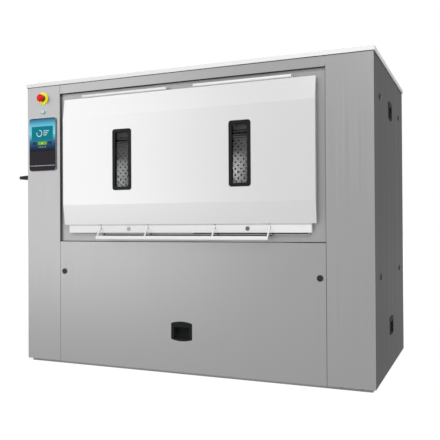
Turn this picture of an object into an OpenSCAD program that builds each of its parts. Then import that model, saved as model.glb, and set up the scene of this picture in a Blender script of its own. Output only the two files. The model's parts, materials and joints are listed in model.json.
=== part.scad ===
// Side-loading, pass-through industrial washing machine. The drum lies across the
// machine and has two compartments. Laundry goes in through the front door and comes
// out through an equal door at the rear. The tub stands rigidly on the base frame and
// carries both doors on its surrounds, so the machine is bolted down at its anchor holes.
// X runs to the right, Y to the back and Z up, seen from the front. The origin lies on
// the floor, at the centre of the four anchor holes.

/* [Casing] */
// Width over the side panels
body_w = 1900; // [1860:10:2300]
// Depth over the front and rear panels
body_d = 1020; // [1020:10:1300]
// Height of the casing panels
panel_h = 1500; // [1480:10:1700]
// Thickness of the folded sheet of the panels
sheet_t = 2; // [1.5:0.5:3]
// Width of each front column
column_w = 217; // [200:1:240]
// Height of the lower service panel
lower_h = 648; // [600:1:680]
// Height of the fascia above the door
fascia_h = 50; // [45:1:60]
// Gap between neighbouring panels
seam = 1.5; // [1:0.5:3]
// Thickness of the top cover
cover_t = 20; // [15:1:40]
// How far the top cover stands out past the panels
cover_out = 5; // [2:1:12]
// Width of the rim on which the top cover rests
cover_rim = 40; // [25:1:60]

/* [Base frame] */
// Height of the base channels that shows under the panels
rail_show = 15; // [10:1:40]
// How far the base channels stand back from the front and rear panels
rail_back = 20; // [16:1:26]
// How far the base channels stand back from the side panels
rail_in = 16; // [10:1:24]
// Width of the base channels
rail_w = 60; // [50:1:80]
// Height of the base channels
rail_h = 80; // [60:1:100]
// Wall of the base channels and cross members
rail_t = 5; // [4:0.5:8]
// Side of the square anchor plates
anchor_plate = 130; // [100:1:160]
// Thickness of the anchor plates
anchor_t = 12; // [8:1:20]
// Radius of the anchor holes
anchor_r = 9; // [7:0.5:11]
// Radius of the small fixing holes in the face of the base channels
rail_hole_r = 4; // [2:0.5:5]
// Distance of the two fixing holes from the outer edge of a column
rail_hole_at = [61, 155];
// Width of the cross members
cross_w = 80; // [60:1:120]

/* [Cabinet frame] */
// Side of the square tubes of the posts and beams
post = 40; // [30:1:45]
// Wall of the square tubes
post_t = 3; // [2:0.5:5]
// Clearance above the top beams
beam_drop = 4; // [2:1:10]

/* [Quarter-turn locks] */
// Radius of a lock's head
lock_r = 15; // [10:0.5:20]
// How far a lock's head stands proud
lock_proud = 3; // [1:0.5:6]
// Radius of a lock's shaft
lock_shaft_r = 9; // [6:0.5:9.5]
// Reach of a lock's cam
cam_l = 58; // [50:1:66]
// Width of a lock's cam
cam_w = 18; // [12:1:24]
// Thickness of a lock's cam
cam_t = 4; // [3:0.5:6]
// Distance of the locks from the edge of the lower panel
lock_edge = 28; // [22:1:34]
// Height of the lower locks
lock_low_z = 501; // [450:1:550]
// Height of the upper locks on the side panels
lock_high_z = 1342; // [1250:1:1380]
// Distance of the side locks from the front and rear panels
lock_side_in = 174; // [160:1:200]

/* [Flush pulls] */
// Width of a flush pull
pull_w = 115; // [90:1:140]
// Height of a flush pull at its middle
pull_h = 98; // [80:1:120]
// Radius of the arched upper and lower edges
pull_arch_r = 187; // [150:1:300]
// How far the pull's rim stands proud
pull_proud = 2; // [1:0.5:4]
// Depth of a pull's housing behind the panel
pull_d = 30; // [24:1:36]
// Wall of a pull's housing
pull_t = 2.5; // [2:0.5:4]
// Width of a pull's finger opening
finger_w = 84; // [70:1:88]
// Height of a pull's finger pocket
finger_h = 70; // [50:1:72]
// How far the finger pocket lies below the pull's middle
finger_drop = 2; // [0:0.5:3]
// Height of the lip over the top of the finger pocket
finger_lip = 13; // [8:1:20]
// Height of the pull on the lower panels
pull_front_z = 217; // [180:1:300]
// Height of the lower pull on the side panels
pull_side_low_z = 228; // [180:1:300]
// Height of the upper pull on the side panels
pull_side_high_z = 1326; // [1250:1:1360]

/* [Tub] */
// Gap all round the door surround
surround_gap = 2; // [1:0.5:6]
// How far the surround lies behind the front of the panels
surround_back = 15; // [12:1:18]
// Thickness of the surround's plate
surround_t = 4; // [3:0.5:6]
// Depth of the surround's folded edge
surround_fold = 16; // [10:1:20]
// Outer radius of the tub
tub_r = 430; // [420:1:440]
// Wall of the tub
tub_t = 6; // [4:0.5:8]
// Thickness of the tub's end plates
end_t = 12; // [8:1:16]
// Clearance between the tub and the top cover's underside
tub_top_gap = 25; // [20:1:40]
// Half width of the tub's mouths
mouth_hw = 600; // [560:1:610]
// Lower edge of the tub's mouths above the floor
mouth_z0 = 830; // [810:1:860]
// Upper edge of the tub's mouths above the floor
mouth_z1 = 1330; // [1290:1:1350]
// Wall of the ducts between the tub and the surrounds
mouth_t = 4; // [3:0.5:6]
// Width of the door gaskets
gasket_w = 20; // [14:1:24]
// Number of ribs on each end plate
rib_count = 8; // [6:1:12]
// Thickness of the ribs on the end plates
rib_t = 8; // [6:1:12]
// Depth of the ribs on the end plates
rib_d = 24; // [16:1:26]
// Distance between the bearing housing's flange and the ribs
rib_in = 15; // [5:1:30]
// Distance between the ribs and the tub's edge
rib_edge = 10; // [4:1:20]
// Half length of the drip rail below the door
drip_hw = 654; // [640:1:660]
// Height of the drip rail above the floor
drip_z = 705; // [700:1:708]
// Height of the drip rail
drip_h = 6; // [4:1:8]
// How far the drip rail stands out
drip_out = 7; // [5:1:9]

/* [Door] */
// How far the door's middle stands in front of the panels
door_proud = 27; // [22:1:34]
// How far the door's upper and lower edges stand in front of the panels
door_edge_proud = 12; // [9:1:16]
// Distance between the skin's side edge and the surround's edge
skin_side = 39; // [30:1:46]
// Upper edge of the door skin below the fascia
skin_drop = 40; // [38:1:46]
// Lower edge of the door skin above the lower panel
skin_rise = 89; // [80:1:100]
// Height of the skin's slanted upper facet
facet_top_h = 106; // [80:1:130]
// Height of the skin's slanted lower facet
facet_low_h = 106; // [80:1:130]
// Thickness of the door's sheets
door_t = 2; // [1.5:0.5:3]
// How far the door frame's front stands in front of the panels
frame_proud = 6; // [5:0.5:8]
// How far the door frame lies inside the skin's side edges
frame_in = 25; // [20:1:40]
// How far the door frame's top lies below the skin's upper edge
frame_drop = 7; // [5:1:10]
// Height of the strip of door frame that shows below the skin
strip_h = 43; // [36:1:50]
// Clearance between the door frame and the surround
door_gap = 2; // [1:0.5:3]
// Distance between the two windows
window_pitch = 650; // [560:1:760]
// Width over a window's bezel
window_w = 112; // [90:1:160]
// Height over a window's bezel
window_h = 316; // [240:1:400]
// Height of the windows' centre above the floor
window_z = 1087; // [1060:1:1110]
// Width of a window's bezel
bezel_w = 18; // [12:1:26]
// Corner radius of a window's bezel
bezel_r = 14; // [8:1:18]
// How far a bezel stands proud of the skin
bezel_proud = 3; // [1:0.5:5]
// Thickness of a window's pane
pane_t = 6; // [4:1:10]
// How far a pane lies behind the front of its bezel
pane_back = 8; // [4:1:14]
// Positions of the two lock receivers along the strip
receiver_x = [-297, 356];
// Radius of a lock receiver
receiver_r = 9; // [7:0.5:11]
// How far the lock receivers lie below the strip's middle
receiver_drop = 1.5; // [0:0.5:4]
// How far a lock receiver stands proud of the strip
receiver_proud = 2; // [1:0.5:3]
// Radius of a lock peg on the surround
peg_r = 6; // [4:0.5:7]
// Length of a lock peg
peg_l = 10; // [6:0.5:12]
// Clearance round a lock peg
peg_gap = 1.5; // [1:0.5:2]

/* [Door hinges] */
// Distance of a hinge's inner end from the middle of the door
hinge_in = 75; // [60:1:100]
// Length of a hinge
hinge_l = 502; // [440:1:540]
// Length of each fixed end knuckle
knuckle_l = 77; // [50:1:100]
// Radius of the hinge barrels
barrel_r = 8; // [7:0.5:9]
// Radius of the hinge pins
hinge_pin_r = 4.5; // [3.5:0.5:5]
// Height of the hinge axis above the door skin's upper edge
hinge_rise = 10; // [9.5:0.5:12]
// Distance of the hinge axis in front of the panels
hinge_proud = 8; // [7:0.5:9]
// Radial clearance of pins and shafts that turn in a bore
turn_fit = 0.05; // [0.02:0.01:0.1]
// Thickness of the hinge leaves
leaf_t = 4; // [3:0.5:5]

/* [Pull bar] */
// Length of the pull bar
bar_l = 940; // [800:10:1000]
// Height of the pull bar
bar_h = 19; // [14:1:24]
// Thickness of the pull bar
bar_t = 12; // [8:1:16]
// Distance of the bar's middle in front of the panels
bar_proud = 46; // [44:1:56]
// Height of the bar's middle above the lower panel
bar_rise = 20.5; // [20:0.5:26]
// Distances of the arms from the middle of the bar
arm_x = [186, 467];
// Thickness of an arm
arm_t = 6; // [4:0.5:8]
// Width of an arm
arm_w = 8; // [6:0.5:9]
// Radius of the bar's rounded edges
bar_edge_r = 5; // [2:0.5:5]
// Thickness of the bearing plates beside the arms
arm_plate_t = 6; // [4:1:8]
// Distance between an arm and its bearing plate
arm_plate_gap = 9; // [8:1:12]
// Radius of the bar's shaft
bar_shaft_r = 5; // [4:0.5:6]
// Height of the bar's shaft above the skin's lower edge
bar_shaft_rise = 2; // [1:0.5:3]

/* [Drum] */
// Clearance between the drum and the tub's shell
drum_gap = 29; // [24:1:40]
// Thickness of the drum's sheet
drum_t = 4; // [3:0.5:5]
// Clearance between the drum and the tub's end plates
drum_end_gap = 20; // [18:1:30]
// Thickness of the drum's end discs and divider
disc_t = 6; // [4:1:8]
// Distance between the divider and a drum opening
opening_in = 60; // [50:1:90]
// Distance between an end disc and a drum opening
opening_out = 53; // [45:1:80]
// Half height of a drum opening
opening_hz = 173; // [150:1:180]
// How far a drum door laps over the edge of its opening
door_lap = 12; // [8:1:14]
// Radius of the drum door's hinge barrel
leaf_barrel_r = 7; // [6:0.5:8]
// Radius of the drum door's hinge pin
leaf_pin_r = 3.5; // [2.5:0.5:4]
// Length of the lugs that hold the drum door's pin
lug_l = 30; // [20:1:40]
// Clearance between pieces that move past each other
move_gap = 0.3; // [0.2:0.1:0.5]
// Height of the drum's lifters
lifter_h = 70; // [50:1:90]
// Width of a lifter at its foot
lifter_w = 90; // [70:1:110]
// Radius of the drum's perforations
hole_r = 6; // [4:0.5:8]
// Width of the latch pads on a drum door
latch_w = 60; // [40:1:80]
// Height of the latch pads on a drum door
latch_h = 20; // [14:1:24]
// Height of the latch pads' middle below the drum's axis
latch_drop = 155; // [145:1:158]
// Number of rows of perforations around the drum
hole_rows = 16; // [12:2:36]
// Number of perforations in a row of one compartment
hole_count = 4; // [3:1:8]

/* [Bearings and drive] */
// Radius of the drum's shaft stubs
shaft_r = 45; // [35:1:50]
// Outer radius of the shaft bearings
bearing_r = 80; // [70:1:90]
// Width of the shaft bearings
bearing_w = 50; // [40:1:60]
// Wall of the bearing housings
housing_t = 28; // [20:1:36]
// Thickness of the ends of the bearing housings
housing_end = 10; // [8:1:14]
// Thickness of the flanges of the bearing housings
flange_t = 14; // [10:1:18]
// How far the flanges stand out past the bearing housings
flange_out = 30; // [20:1:40]
// Radius of the shaft seals
seal_r = 60; // [55:1:66]
// Clearance round the shaft in the ends of the bearing housings
shaft_gap = 4; // [2:0.5:6]
// Thickness of the flanges that join the shaft stubs to the drum
hub_t = 14; // [10:1:16]
// Radius of the flanges that join the shaft stubs to the drum
hub_r = 130; // [100:5:160]
// Length of shaft past the drum pulley
shaft_past = 10; // [5:1:20]
// Clearance between the bearing housing and the drum pulley
pulley_gap = 9; // [6:1:14]
// Radius of the drum pulley
drum_pulley_r = 330; // [300:1:350]
// Radius of the motor pulley
motor_pulley_r = 66; // [50:1:90]
// Width of the pulleys
pulley_w = 60; // [50:1:70]
// Thickness of the drum pulley's rim below its grooves
pulley_rim = 20; // [14:1:30]
// Thickness of the drum pulley's web
web_t = 20; // [12:1:30]
// Number of holes in the drum pulley's web
web_hole_count = 5; // [3:1:6]
// Radius of the holes in the drum pulley's web
web_hole_r = 60; // [30:1:70]
// Wall of the drum pulley's hub
pulley_hub_t = 28; // [20:1:40]
// Number of drive belts
belt_count = 4; // [3:1:5]
// Width of a drive belt
belt_w = 9; // [7:1:9]
// Thickness of a drive belt
belt_t = 7; // [5:1:10]
// Radius of the motor
motor_r = 150; // [120:1:160]
// Length of the motor
motor_l = 400; // [300:10:440]
// Radius of the motor's shaft
motor_shaft_r = 24; // [18:1:30]
// Depth of the motor's cooling fins
fin_d = 20; // [12:1:26]
// Thickness of a cooling fin
fin_t = 8; // [5:1:12]
// Distance between cooling fins
fin_pitch = 20; // [16:1:30]
// Distance of the motor's top below the stand's beams
motor_drop = 70; // [60:1:80]
// Height of the motor's feet above its fins
motor_foot = 10; // [6:1:20]
// Distance of the cooling fins from the motor's rear end
fins_in = 30; // [20:1:50]
// Distance of the motor's mounting foot from its ends
foot_in = 60; // [40:1:80]
// Distance of the terminal box from the motor's rear end
terminal_in = 90; // [60:1:120]
// Length of the motor's terminal box
terminal_l = 120; // [80:1:150]
// Height of the motor's terminal box
terminal_h = 100; // [60:1:120]
// How far the terminal box stands out from the fins
terminal_out = 30; // [20:1:40]
// How far the motor reaches past the end of the tub
motor_out = 29; // [20:1:34]

/* [Tub stand] */
// Distance of the stand's legs from the middle of the width
leg_x = 600; // [560:1:620]
// Distance of the stand's legs from the middle of the depth
leg_y = 330; // [300:1:340]
// Side of the stand's legs and beams
leg_w = 60; // [50:1:70]
// Wall of the stand's legs
leg_t = 5; // [3:0.5:8]
// Clearance between the stand's beams and the lowest line of the tub
stand_gap = 30; // [20:1:50]
// Height of the stand's beams
stand_h = 40; // [30:1:45]
// Width of the motor's hangers
hanger_w = 20; // [12:1:30]
// Thickness of the motor's mounting plate
hanger_t = 12; // [8:1:16]
// Thickness of the saddles under the tub
saddle_t = 16; // [10:1:20]
// How far the saddles stand out past the beams
saddle_out = 20; // [10:1:30]
// How far the saddles' upper ends lie below the tub's axis
saddle_drop = 260; // [245:1:300]

/* [Water] */
// Outer radius of the drain outlet's spigot
drain_r = 37.5; // [30:0.5:40]
// Length of the drain outlet's spigot
drain_spigot = 50; // [40:1:50]
// How far the drain pipe stands out past its spigot
drain_step = 2.5; // [1.5:0.5:4]
// Wall of the drain pipes
drain_t = 3.5; // [2.5:0.5:5]
// Position of the drain along the width
drain_x = -200; // [-240:1:-160]
// Height of the drain outlet's lower end above the floor
drain_end_z = 20; // [10:1:30]
// Length of the drain stub under the tub
drain_stub = 34; // [26:1:45]
// Height of the drain valve
valve_h = 116; // [90:1:130]
// Side of the drain valve's body
valve_w = 120; // [100:1:140]
// Length of the drain valve's actuator
actuator_l = 90; // [60:1:120]
// How far the drain's flanges stand out past the pipe
drain_flange = 16; // [10:1:20]
// Thickness of the drain's flanges
drain_flange_t = 8; // [5:1:10]
// Width of the drain bracket
bracket_w = 140; // [120:1:160]
// Outer radius of the water inlets' threads
inlet_r = 13.2; // [8:0.1:16.6]
// Number of water inlets
inlet_count = 3; // [1:1:3]
// Distance between the water inlets
inlet_pitch = 70; // [60:1:80]
// Length of the water inlets' threads above their nuts
inlet_l = 22; // [16:1:28]
// Distance of the first water inlet from the left side
inlet_in = 90; // [80:1:110]
// Distance of the water inlets from the rear
inlet_back = 100; // [90:1:120]
// Length of the water inlets' bodies, from the cover's top down
inlet_body_l = 70; // [50:1:90]
// Width and height of the solenoids on the water inlets
solenoid_w = 30; // [20:1:36]
// Length of the solenoids on the water inlets
solenoid_l = 45; // [30:1:60]
// Radius of the power gland's bore
gland_bore_r = 12.5; // [8:0.5:14]
// Distance of the power gland behind the middle of the depth
gland_y = 150; // [100:5:200]
// Length of the power gland below the cover's top
gland_below = 20; // [12:1:30]
// Length of the power gland above the cover's top
gland_above = 26; // [20:1:40]
// Height of the power gland's hexagon
gland_hex_h = 10; // [6:1:14]
// Distance from the gland's bore to the corners of its hexagon
gland_hex_out = 11; // [8:1:14]

/* [Controls] */
// Distance of the controls from the column's outer edge
control_in = 105; // [100:1:110]
// Height of the emergency stop above the floor
estop_z = 1448; // [1440:1:1455]
// Radius of the emergency stop's yellow plate
estop_plate_r = 34; // [30:1:38]
// Radius of the emergency stop's head
estop_head_r = 21; // [18:1:24]
// Thickness of the emergency stop's yellow plate
estop_plate_t = 3; // [2:0.5:4]
// How far the emergency stop's collar stands proud
estop_collar = 14; // [10:1:18]
// Height of the emergency stop's head
estop_head_h = 15; // [12:1:18]
// Travel of the emergency stop's head
estop_travel = 5; // [3:0.5:6]
// Height of the push button above the floor
button_z = 1377; // [1370:1:1385]
// Radius of the push button's bezel
button_r = 17; // [15:0.5:20]
// Radius of the push button's cap
button_cap_r = 12; // [9:0.5:13]
// Travel of the push button's cap
button_travel = 3.5; // [2:0.5:4]
// How far the push button's bezel stands proud
button_proud = 4; // [2:0.5:6]
// Depth of the control bodies behind the panel
control_d = 30; // [25:1:35]
// Depth of the bores of the control bodies behind the panel
control_bore_d = 20; // [16:1:24]
// Width of the touch screen
screen_w = 176; // [140:1:180]
// Height of the touch screen
screen_h = 289; // [220:1:290]
// Height of the touch screen's lower edge above the floor
screen_z = 1050; // [1030:1:1060]
// How far the touch screen's housing stands proud
screen_proud = 6; // [4:0.5:10]
// Corner radius of the touch screen
screen_r = 10; // [6:1:16]
// Width of the touch screen's border
screen_rim = 4; // [3:0.5:8]
// Height of the main isolator above the floor
isolator_z = 1018; // [990:1:1060]
// Distance of the main isolator behind the front of the panels
isolator_back = 100; // [96:1:110]
// Side of the main isolator's square plate
isolator_side = 90; // [80:1:96]
// Thickness of the main isolator's plate
isolator_t = 12; // [8:1:16]
// How far the isolator's handle stands out from the side panel
handle_out = 83; // [70:1:95]
// Reach of the isolator's handle forward of its axis
handle_l = 82; // [70:1:90]
// Height of the isolator's handle at its root
handle_h = 24; // [20:1:30]
// Radius of the isolator's shaft
isolator_shaft_r = 8; // [5:0.5:10]
// Radius of the boss of the isolator's handle
handle_boss_r = 28; // [20:1:34]
// Width of the control box behind the left column
box_w = 150; // [100:5:150]
// Length of the control box
box_l = 270; // [200:5:300]
// Height of the control box
box_h = 700; // [500:10:740]
// Height of the control box's lower edge above the floor
box_z = 700; // [660:10:740]
// Distance of the control box behind the front of the panels
box_back = 70; // [60:1:90]
// Thickness of the control box's lid
lid_t = 12; // [8:1:20]
// Distance of the lid's edge from the control box's edge
lid_in = 20; // [10:1:30]

/* [Hidden] */
$fn = 48;
e = 0.01;
half_w = body_w / 2;
half_d = body_d / 2;
panel_z0 = rail_show;
panel_z1 = rail_show + panel_h;
skin_y = -half_d + sheet_t;
open_hw = half_w - column_w;
open_z0 = panel_z0 + lower_h;
open_z1 = panel_z1 - fascia_h;
rail_x = half_w - rail_in;
rail_y = half_d - rail_back;
anchor_x = rail_x - rail_w - anchor_plate / 2;
anchor_y = rail_y - rail_w - anchor_plate / 2;
beam_z1 = panel_z1 - beam_drop;
beam_z0 = beam_z1 - post;
post_y = half_d - sheet_t;
post_x = half_w - 2 * sheet_t;
cover_z1 = panel_z1 + cover_t;
lock_side_y = half_d - lock_side_in;

axis_z = panel_z1 - tub_top_gap - tub_r;
surround_hw = open_hw - surround_gap;
surround_z0 = open_z0 + surround_gap;
surround_z1 = open_z1 - surround_gap;
surround_y = -half_d + surround_back;
tub_hl = surround_hw - end_t;

skin_hw = surround_hw - skin_side;
skin_z1 = open_z1 - skin_drop;
skin_z0 = open_z0 + skin_rise;
frame_hw = skin_hw - frame_in;
frame_y0 = -half_d - frame_proud;
frame_y1 = surround_y - door_gap;
frame_z0 = skin_z0 - strip_h;
frame_z1 = skin_z1 - frame_drop;
hinge_y = -half_d - hinge_proud;
hinge_z = skin_z1 + hinge_rise;
bar_shaft_y = (frame_y0 + frame_y1) / 2;
bar_shaft_z = skin_z0 + bar_shaft_rise;
bar_y = -half_d - bar_proud;
bar_z = open_z0 + bar_rise;
arm_tilt = atan2(bar_shaft_y - bar_y, bar_shaft_z - bar_z);
arm_l = norm([bar_shaft_y - bar_y, bar_shaft_z - bar_z]);
arm_plate_x = arm_t / 2 + arm_plate_gap;
slot_up = 14;
slot_down = 26;
shaft_end = 22;
receiver_z = (frame_z0 + skin_z0) / 2 - receiver_drop;

drum_r = tub_r - tub_t - drum_gap;
drum_hl = tub_hl - drum_end_gap;
leaf_r = drum_r - drum_t - move_gap;
leaf_x0 = opening_in - door_lap;
leaf_x1 = drum_hl - disc_t - opening_out + door_lap;
leaf_hz = opening_hz + door_lap;
leaf_axis_r = leaf_r - leaf_barrel_r;
leaf_axis_a = asin(leaf_hz / leaf_r) + 1;
leaf_axis_y = -leaf_axis_r * cos(leaf_axis_a);
leaf_axis_z = axis_z + leaf_axis_r * sin(leaf_axis_a);
lug_x = [leaf_x0 + 12, leaf_x1 - 12 - lug_l];
lug_r = leaf_barrel_r + 3;
lug_gap = 18;

housing_x1 = surround_hw + 2 * housing_end + bearing_w;
flange_r = bearing_r + housing_t + flange_out;
pulley_x0 = housing_x1 + pulley_gap;
stand_z = axis_z - tub_r - stand_gap - stand_h;
saddle_z = axis_z - saddle_drop;
motor_z = stand_z - motor_r - motor_drop;
motor_x1 = surround_hw + motor_out;
motor_x0 = motor_x1 - motor_l;
mount_plate_z = motor_z + motor_r + motor_foot;
rotor_in = 50;
belt_drop = axis_z - motor_z;
belt_steps = 32;
edge_steps = 5;

control_x = -half_w + control_in;
estop_hole_r = estop_head_r - 6;
button_hole_r = button_r - 2;
drain_pipe_r = drain_r + drain_step;
valve_z1 = axis_z - tub_r - drain_stub;
valve_z0 = valve_z1 - valve_h;
inlet_x = -half_w + inlet_in;
inlet_y = half_d - inlet_back;
nut_h = 6;
nut_out = 12;
hole_out = 6;
gland_t = 4;
isolator_y = -half_d + isolator_back;
handle_x0 = -half_w - isolator_t;
handle_x1 = -half_w - handle_out;

// A box between two limits on each axis
module block(x, y, z) {
    translate([x[0], y[0], z[0]]) cube([x[1] - x[0], y[1] - y[0], z[1] - z[0]]);
}

// Round bars along each axis, between two limits
module rod_x(x, y, z, r) {
    translate([x[0], y, z]) rotate([0, 90, 0]) cylinder(h = x[1] - x[0], r = r);
}

module rod_y(x, y, z, r) {
    translate([x, y[1], z]) rotate([90, 0, 0]) cylinder(h = y[1] - y[0], r = r);
}

module rod_z(x, y, z, r) {
    translate([x, y, z[0]]) cylinder(h = z[1] - z[0], r = r);
}

// Points along an arc round a centre, between two angles
function arc_points(c, r, a0, a1, n) = [for (i = [0:n]) let (a = a0 + (a1 - a0) * i / n)
    [c[0] + r * cos(a), c[1] + r * sin(a)]];

// The outline of a box with round corners, from its half width and half height
function round_box_points(w, h, r) = concat(
    arc_points([w - r, h - r], r, 0, 90, edge_steps),
    arc_points([r - w, h - r], r, 90, 180, edge_steps),
    arc_points([r - w, r - h], r, 180, 270, edge_steps),
    arc_points([w - r, r - h], r, 270, 360, edge_steps));

// An upright plate with round corners, lying in the X and Z directions
module slab(x, y, z, r) {
    block([x[0] + r, x[1] - r], y, z);
    block(x, y, [z[0] + r, z[1] - r]);
    for (cx = [x[0] + r, x[1] - r], cz = [z[0] + r, z[1] - r]) rod_y(cx, y, cz, r);
}

// Copies on both sides of the machine, on the front and the rear, and at four corners
module both_sides() {
    children();
    mirror([1, 0, 0]) children();
}

module front_and_rear() {
    children();
    mirror([0, 1, 0]) children();
}

module four_corners() {
    both_sides() front_and_rear() children();
}

// The unloading side is the loading side turned about the upright axis
module turned() {
    rotate([0, 0, 180]) children();
}

// An upright square tube, open at its ends
module tube_z(x, y, z) {
    difference() {
        block(x, y, z);
        block([x[0] + post_t, x[1] - post_t], [y[0] + post_t, y[1] - post_t], [z[0] - 1, z[1] + 1]);
    }
}

// Base frame

module base_channels() {
    difference() {
        block([-rail_x, rail_x], [-rail_y, rail_y], [0, rail_h]);
        block([-rail_x + rail_t, rail_x - rail_t], [-rail_y + rail_t, rail_y - rail_t],
            [rail_t, rail_h - rail_t]);
        block([-rail_x + rail_w, rail_x - rail_w], [-rail_y + rail_w, rail_y - rail_w],
            [-1, rail_h + 1]);
    }
}

module cross_member(x, w, y, z) {
    difference() {
        block([x - w / 2, x + w / 2], [-y, y], z);
        block([x - w / 2 + rail_t, x + w / 2 - rail_t], [-y - 1, y + 1], [z[0] - 1, z[1] - rail_t]);
    }
}

module base_frame() {
    color("dimgray") difference() {
        union() {
            base_channels();
            both_sides() cross_member(leg_x, cross_w, rail_y - rail_t, [0, rail_h]);
            cross_member(drain_x, bracket_w, rail_y - rail_t, [rail_h / 2, rail_h]);
            four_corners() {
                block([anchor_x - anchor_plate / 2, anchor_x + anchor_plate / 2 + rail_w / 2],
                    [anchor_y - anchor_plate / 2, anchor_y + anchor_plate / 2 + rail_w / 2],
                    [0, anchor_t]);
            }
        }
        four_corners() rod_z(anchor_x, anchor_y, [-1, anchor_t + 1], anchor_r);
        for (d = rail_hole_at) four_corners() {
            rod_y(half_w - d, [rail_y - rail_t - 1, rail_y + 1], rail_show / 2 + rail_t / 2,
                rail_hole_r);
        }
        rod_z(drain_x, 0, [rail_h - rail_t - 1, rail_h + 1], drain_pipe_r);
    }
}

// Cabinet frame

module cabinet_frame() {
    z = [rail_h, beam_z0];
    color("silver") {
        four_corners() {
            tube_z([post_x - post, post_x], [post_y - post, post_y], z);
            tube_z([open_hw + sheet_t, open_hw + sheet_t + post], [post_y - post, post_y], z);
            tube_z([half_w - sheet_t - post, half_w - sheet_t],
                [lock_side_y + post / 2, lock_side_y + post * 1.5], z);
        }
        difference() {
            block([-post_x, post_x], [-post_y, post_y], [beam_z0, beam_z1]);
            block([-post_x + post, post_x - post], [-post_y + post, post_y - post],
                [beam_z0 - 1, beam_z1 + 1]);
            block([-post_x + post_t, post_x - post_t], [-post_y + post_t, post_y - post_t],
                [beam_z0 + post_t, beam_z1 - post_t]);
        }
        both_sides() block([post_x - e, half_w - sheet_t],
            [-lock_side_y - post * 1.5, lock_side_y + post * 1.5], [beam_z0, beam_z1]);
    }
}

// Front and rear casing

module column_panel() {
    z = [panel_z0, panel_z1];
    block([open_hw, half_w], [-half_d, skin_y], z);
    block([open_hw, open_hw + sheet_t], [-half_d, -rail_y], [panel_z0, beam_z0]);
    block([post_x, half_w - sheet_t], [-half_d, -rail_y], z);
}

module fascia_panel() {
    x = [-open_hw + seam, open_hw - seam];
    block(x, [-half_d, skin_y], [open_z1, panel_z1]);
    for (z = [open_z1, panel_z1 - sheet_t]) {
        block(x, [-half_d, -rail_y], [z, z + sheet_t]);
    }
}

module lower_panel() {
    x = [-open_hw + seam, open_hw - seam];
    z = [panel_z0, open_z0 - seam];
    difference() {
        union() {
            block(x, [-half_d, skin_y], z);
            for (fx = [x[0], x[1] - sheet_t]) block([fx, fx + sheet_t], [-half_d, -rail_y], z);
            for (fz = [z[0], z[1] - sheet_t]) block(x, [-half_d, -rail_y], [fz, fz + sheet_t]);
        }
        pull_hole(pull_front_z);
    }
}

module left_column_panel() {
    color("darkgray") difference() {
        mirror([1, 0, 0]) column_panel();
        rod_y(control_x, [-half_d - 1, skin_y + 1], estop_z, estop_hole_r);
        rod_y(control_x, [-half_d - 1, skin_y + 1], button_z, button_hole_r);
    }
}

module right_column_panel() {
    color("darkgray") column_panel();
}

module top_fascia() {
    color("darkgray") fascia_panel();
}

module lower_service_panel() {
    color("darkgray") difference() {
        lower_panel();
        both_sides() rod_y(open_hw - seam - lock_edge, [-half_d - 1, skin_y + 1], lock_low_z,
            lock_shaft_r + move_gap);
    }
}

module rear_column_panels() {
    color("darkgray") turned() both_sides() column_panel();
}

module rear_fascia() {
    color("darkgray") turned() fascia_panel();
}

module rear_lower_panel() {
    color("darkgray") turned() lower_panel();
}

// Side panels

// Places a thing that is drawn on the front of the machine on the right side instead
module on_right_side() {
    rotate([0, 0, 90]) translate([0, half_d - half_w, 0]) children();
}

module side_panel() {
    y = [-half_d + sheet_t, half_d - sheet_t];
    difference() {
        union() {
            block([half_w - sheet_t, half_w], y, [panel_z0, panel_z1]);
            for (z = [panel_z0, panel_z1 - sheet_t]) {
                block([rail_x, half_w], [y[0] + rail_back, y[1] - rail_back], [z, z + sheet_t]);
            }
        }
        on_right_side() {
            pull_hole(pull_side_low_z);
            pull_hole(pull_side_high_z);
        }
    }
}

module right_side_panel() {
    color("dimgray") difference() {
        side_panel();
        on_right_side() for (z = [lock_low_z, lock_high_z]) {
            both_sides() rod_y(lock_side_y, [-half_d - 1, skin_y + 1], z, lock_shaft_r + move_gap);
        }
    }
}

module left_side_panel() {
    color("dimgray") mirror([1, 0, 0]) side_panel();
}

module top_cover() {
    x = half_w + cover_out;
    y = half_d + cover_out;
    color("gainsboro") difference() {
        block([-x, x], [-y, y], [panel_z1, cover_z1]);
        block([-x + sheet_t, x - sheet_t], [-y + sheet_t, y - sheet_t],
            [panel_z1 + sheet_t, cover_z1 - sheet_t]);
        block([-x + cover_rim, x - cover_rim], [-y + cover_rim, y - cover_rim],
            [panel_z1 - 1, panel_z1 + sheet_t + 1]);
        for (i = [0:inlet_count - 1]) {
            rod_z(inlet_x + i * inlet_pitch, inlet_y, [cover_z1 - sheet_t - 1, cover_z1 + 1],
                inlet_r + hole_out);
        }
        rod_z(inlet_x, gland_y, [cover_z1 - sheet_t - 1, cover_z1 + 1], gland_bore_r + gland_t);
    }
}

// Flush pulls

module pull_outline() {
    intersection() {
        square([pull_w, pull_h], center = true);
        translate([0, pull_arch_r - pull_h / 2]) circle(pull_arch_r, $fn = 180);
        translate([0, pull_h / 2 - pull_arch_r]) circle(pull_arch_r, $fn = 180);
    }
}

// The space of a pull's finger pocket between two depths, larger by a wall and shorter by a lip
module finger_space(z, y, wall, lip) {
    zm = z - finger_drop;
    block([-finger_w / 2 - wall, finger_w / 2 + wall], y,
        [zm - finger_h / 2 - wall, zm + finger_h / 2 + wall - lip]);
}

module pull_hole(z) {
    finger_space(z, [-half_d - 1, -half_d + sheet_t + 1], pull_t, 0);
}

module flush_pull(z) {
    y0 = -half_d;
    difference() {
        union() {
            translate([0, y0, z]) rotate([90, 0, 0]) linear_extrude(pull_proud) pull_outline();
            finger_space(z, [y0 - e, y0 + pull_d], pull_t, 0);
        }
        finger_space(z, [y0 + sheet_t, y0 + pull_d - pull_t], 0, 0);
        finger_space(z, [y0 - pull_proud - 1, y0 + sheet_t + 1], 0, finger_lip);
    }
}

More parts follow.
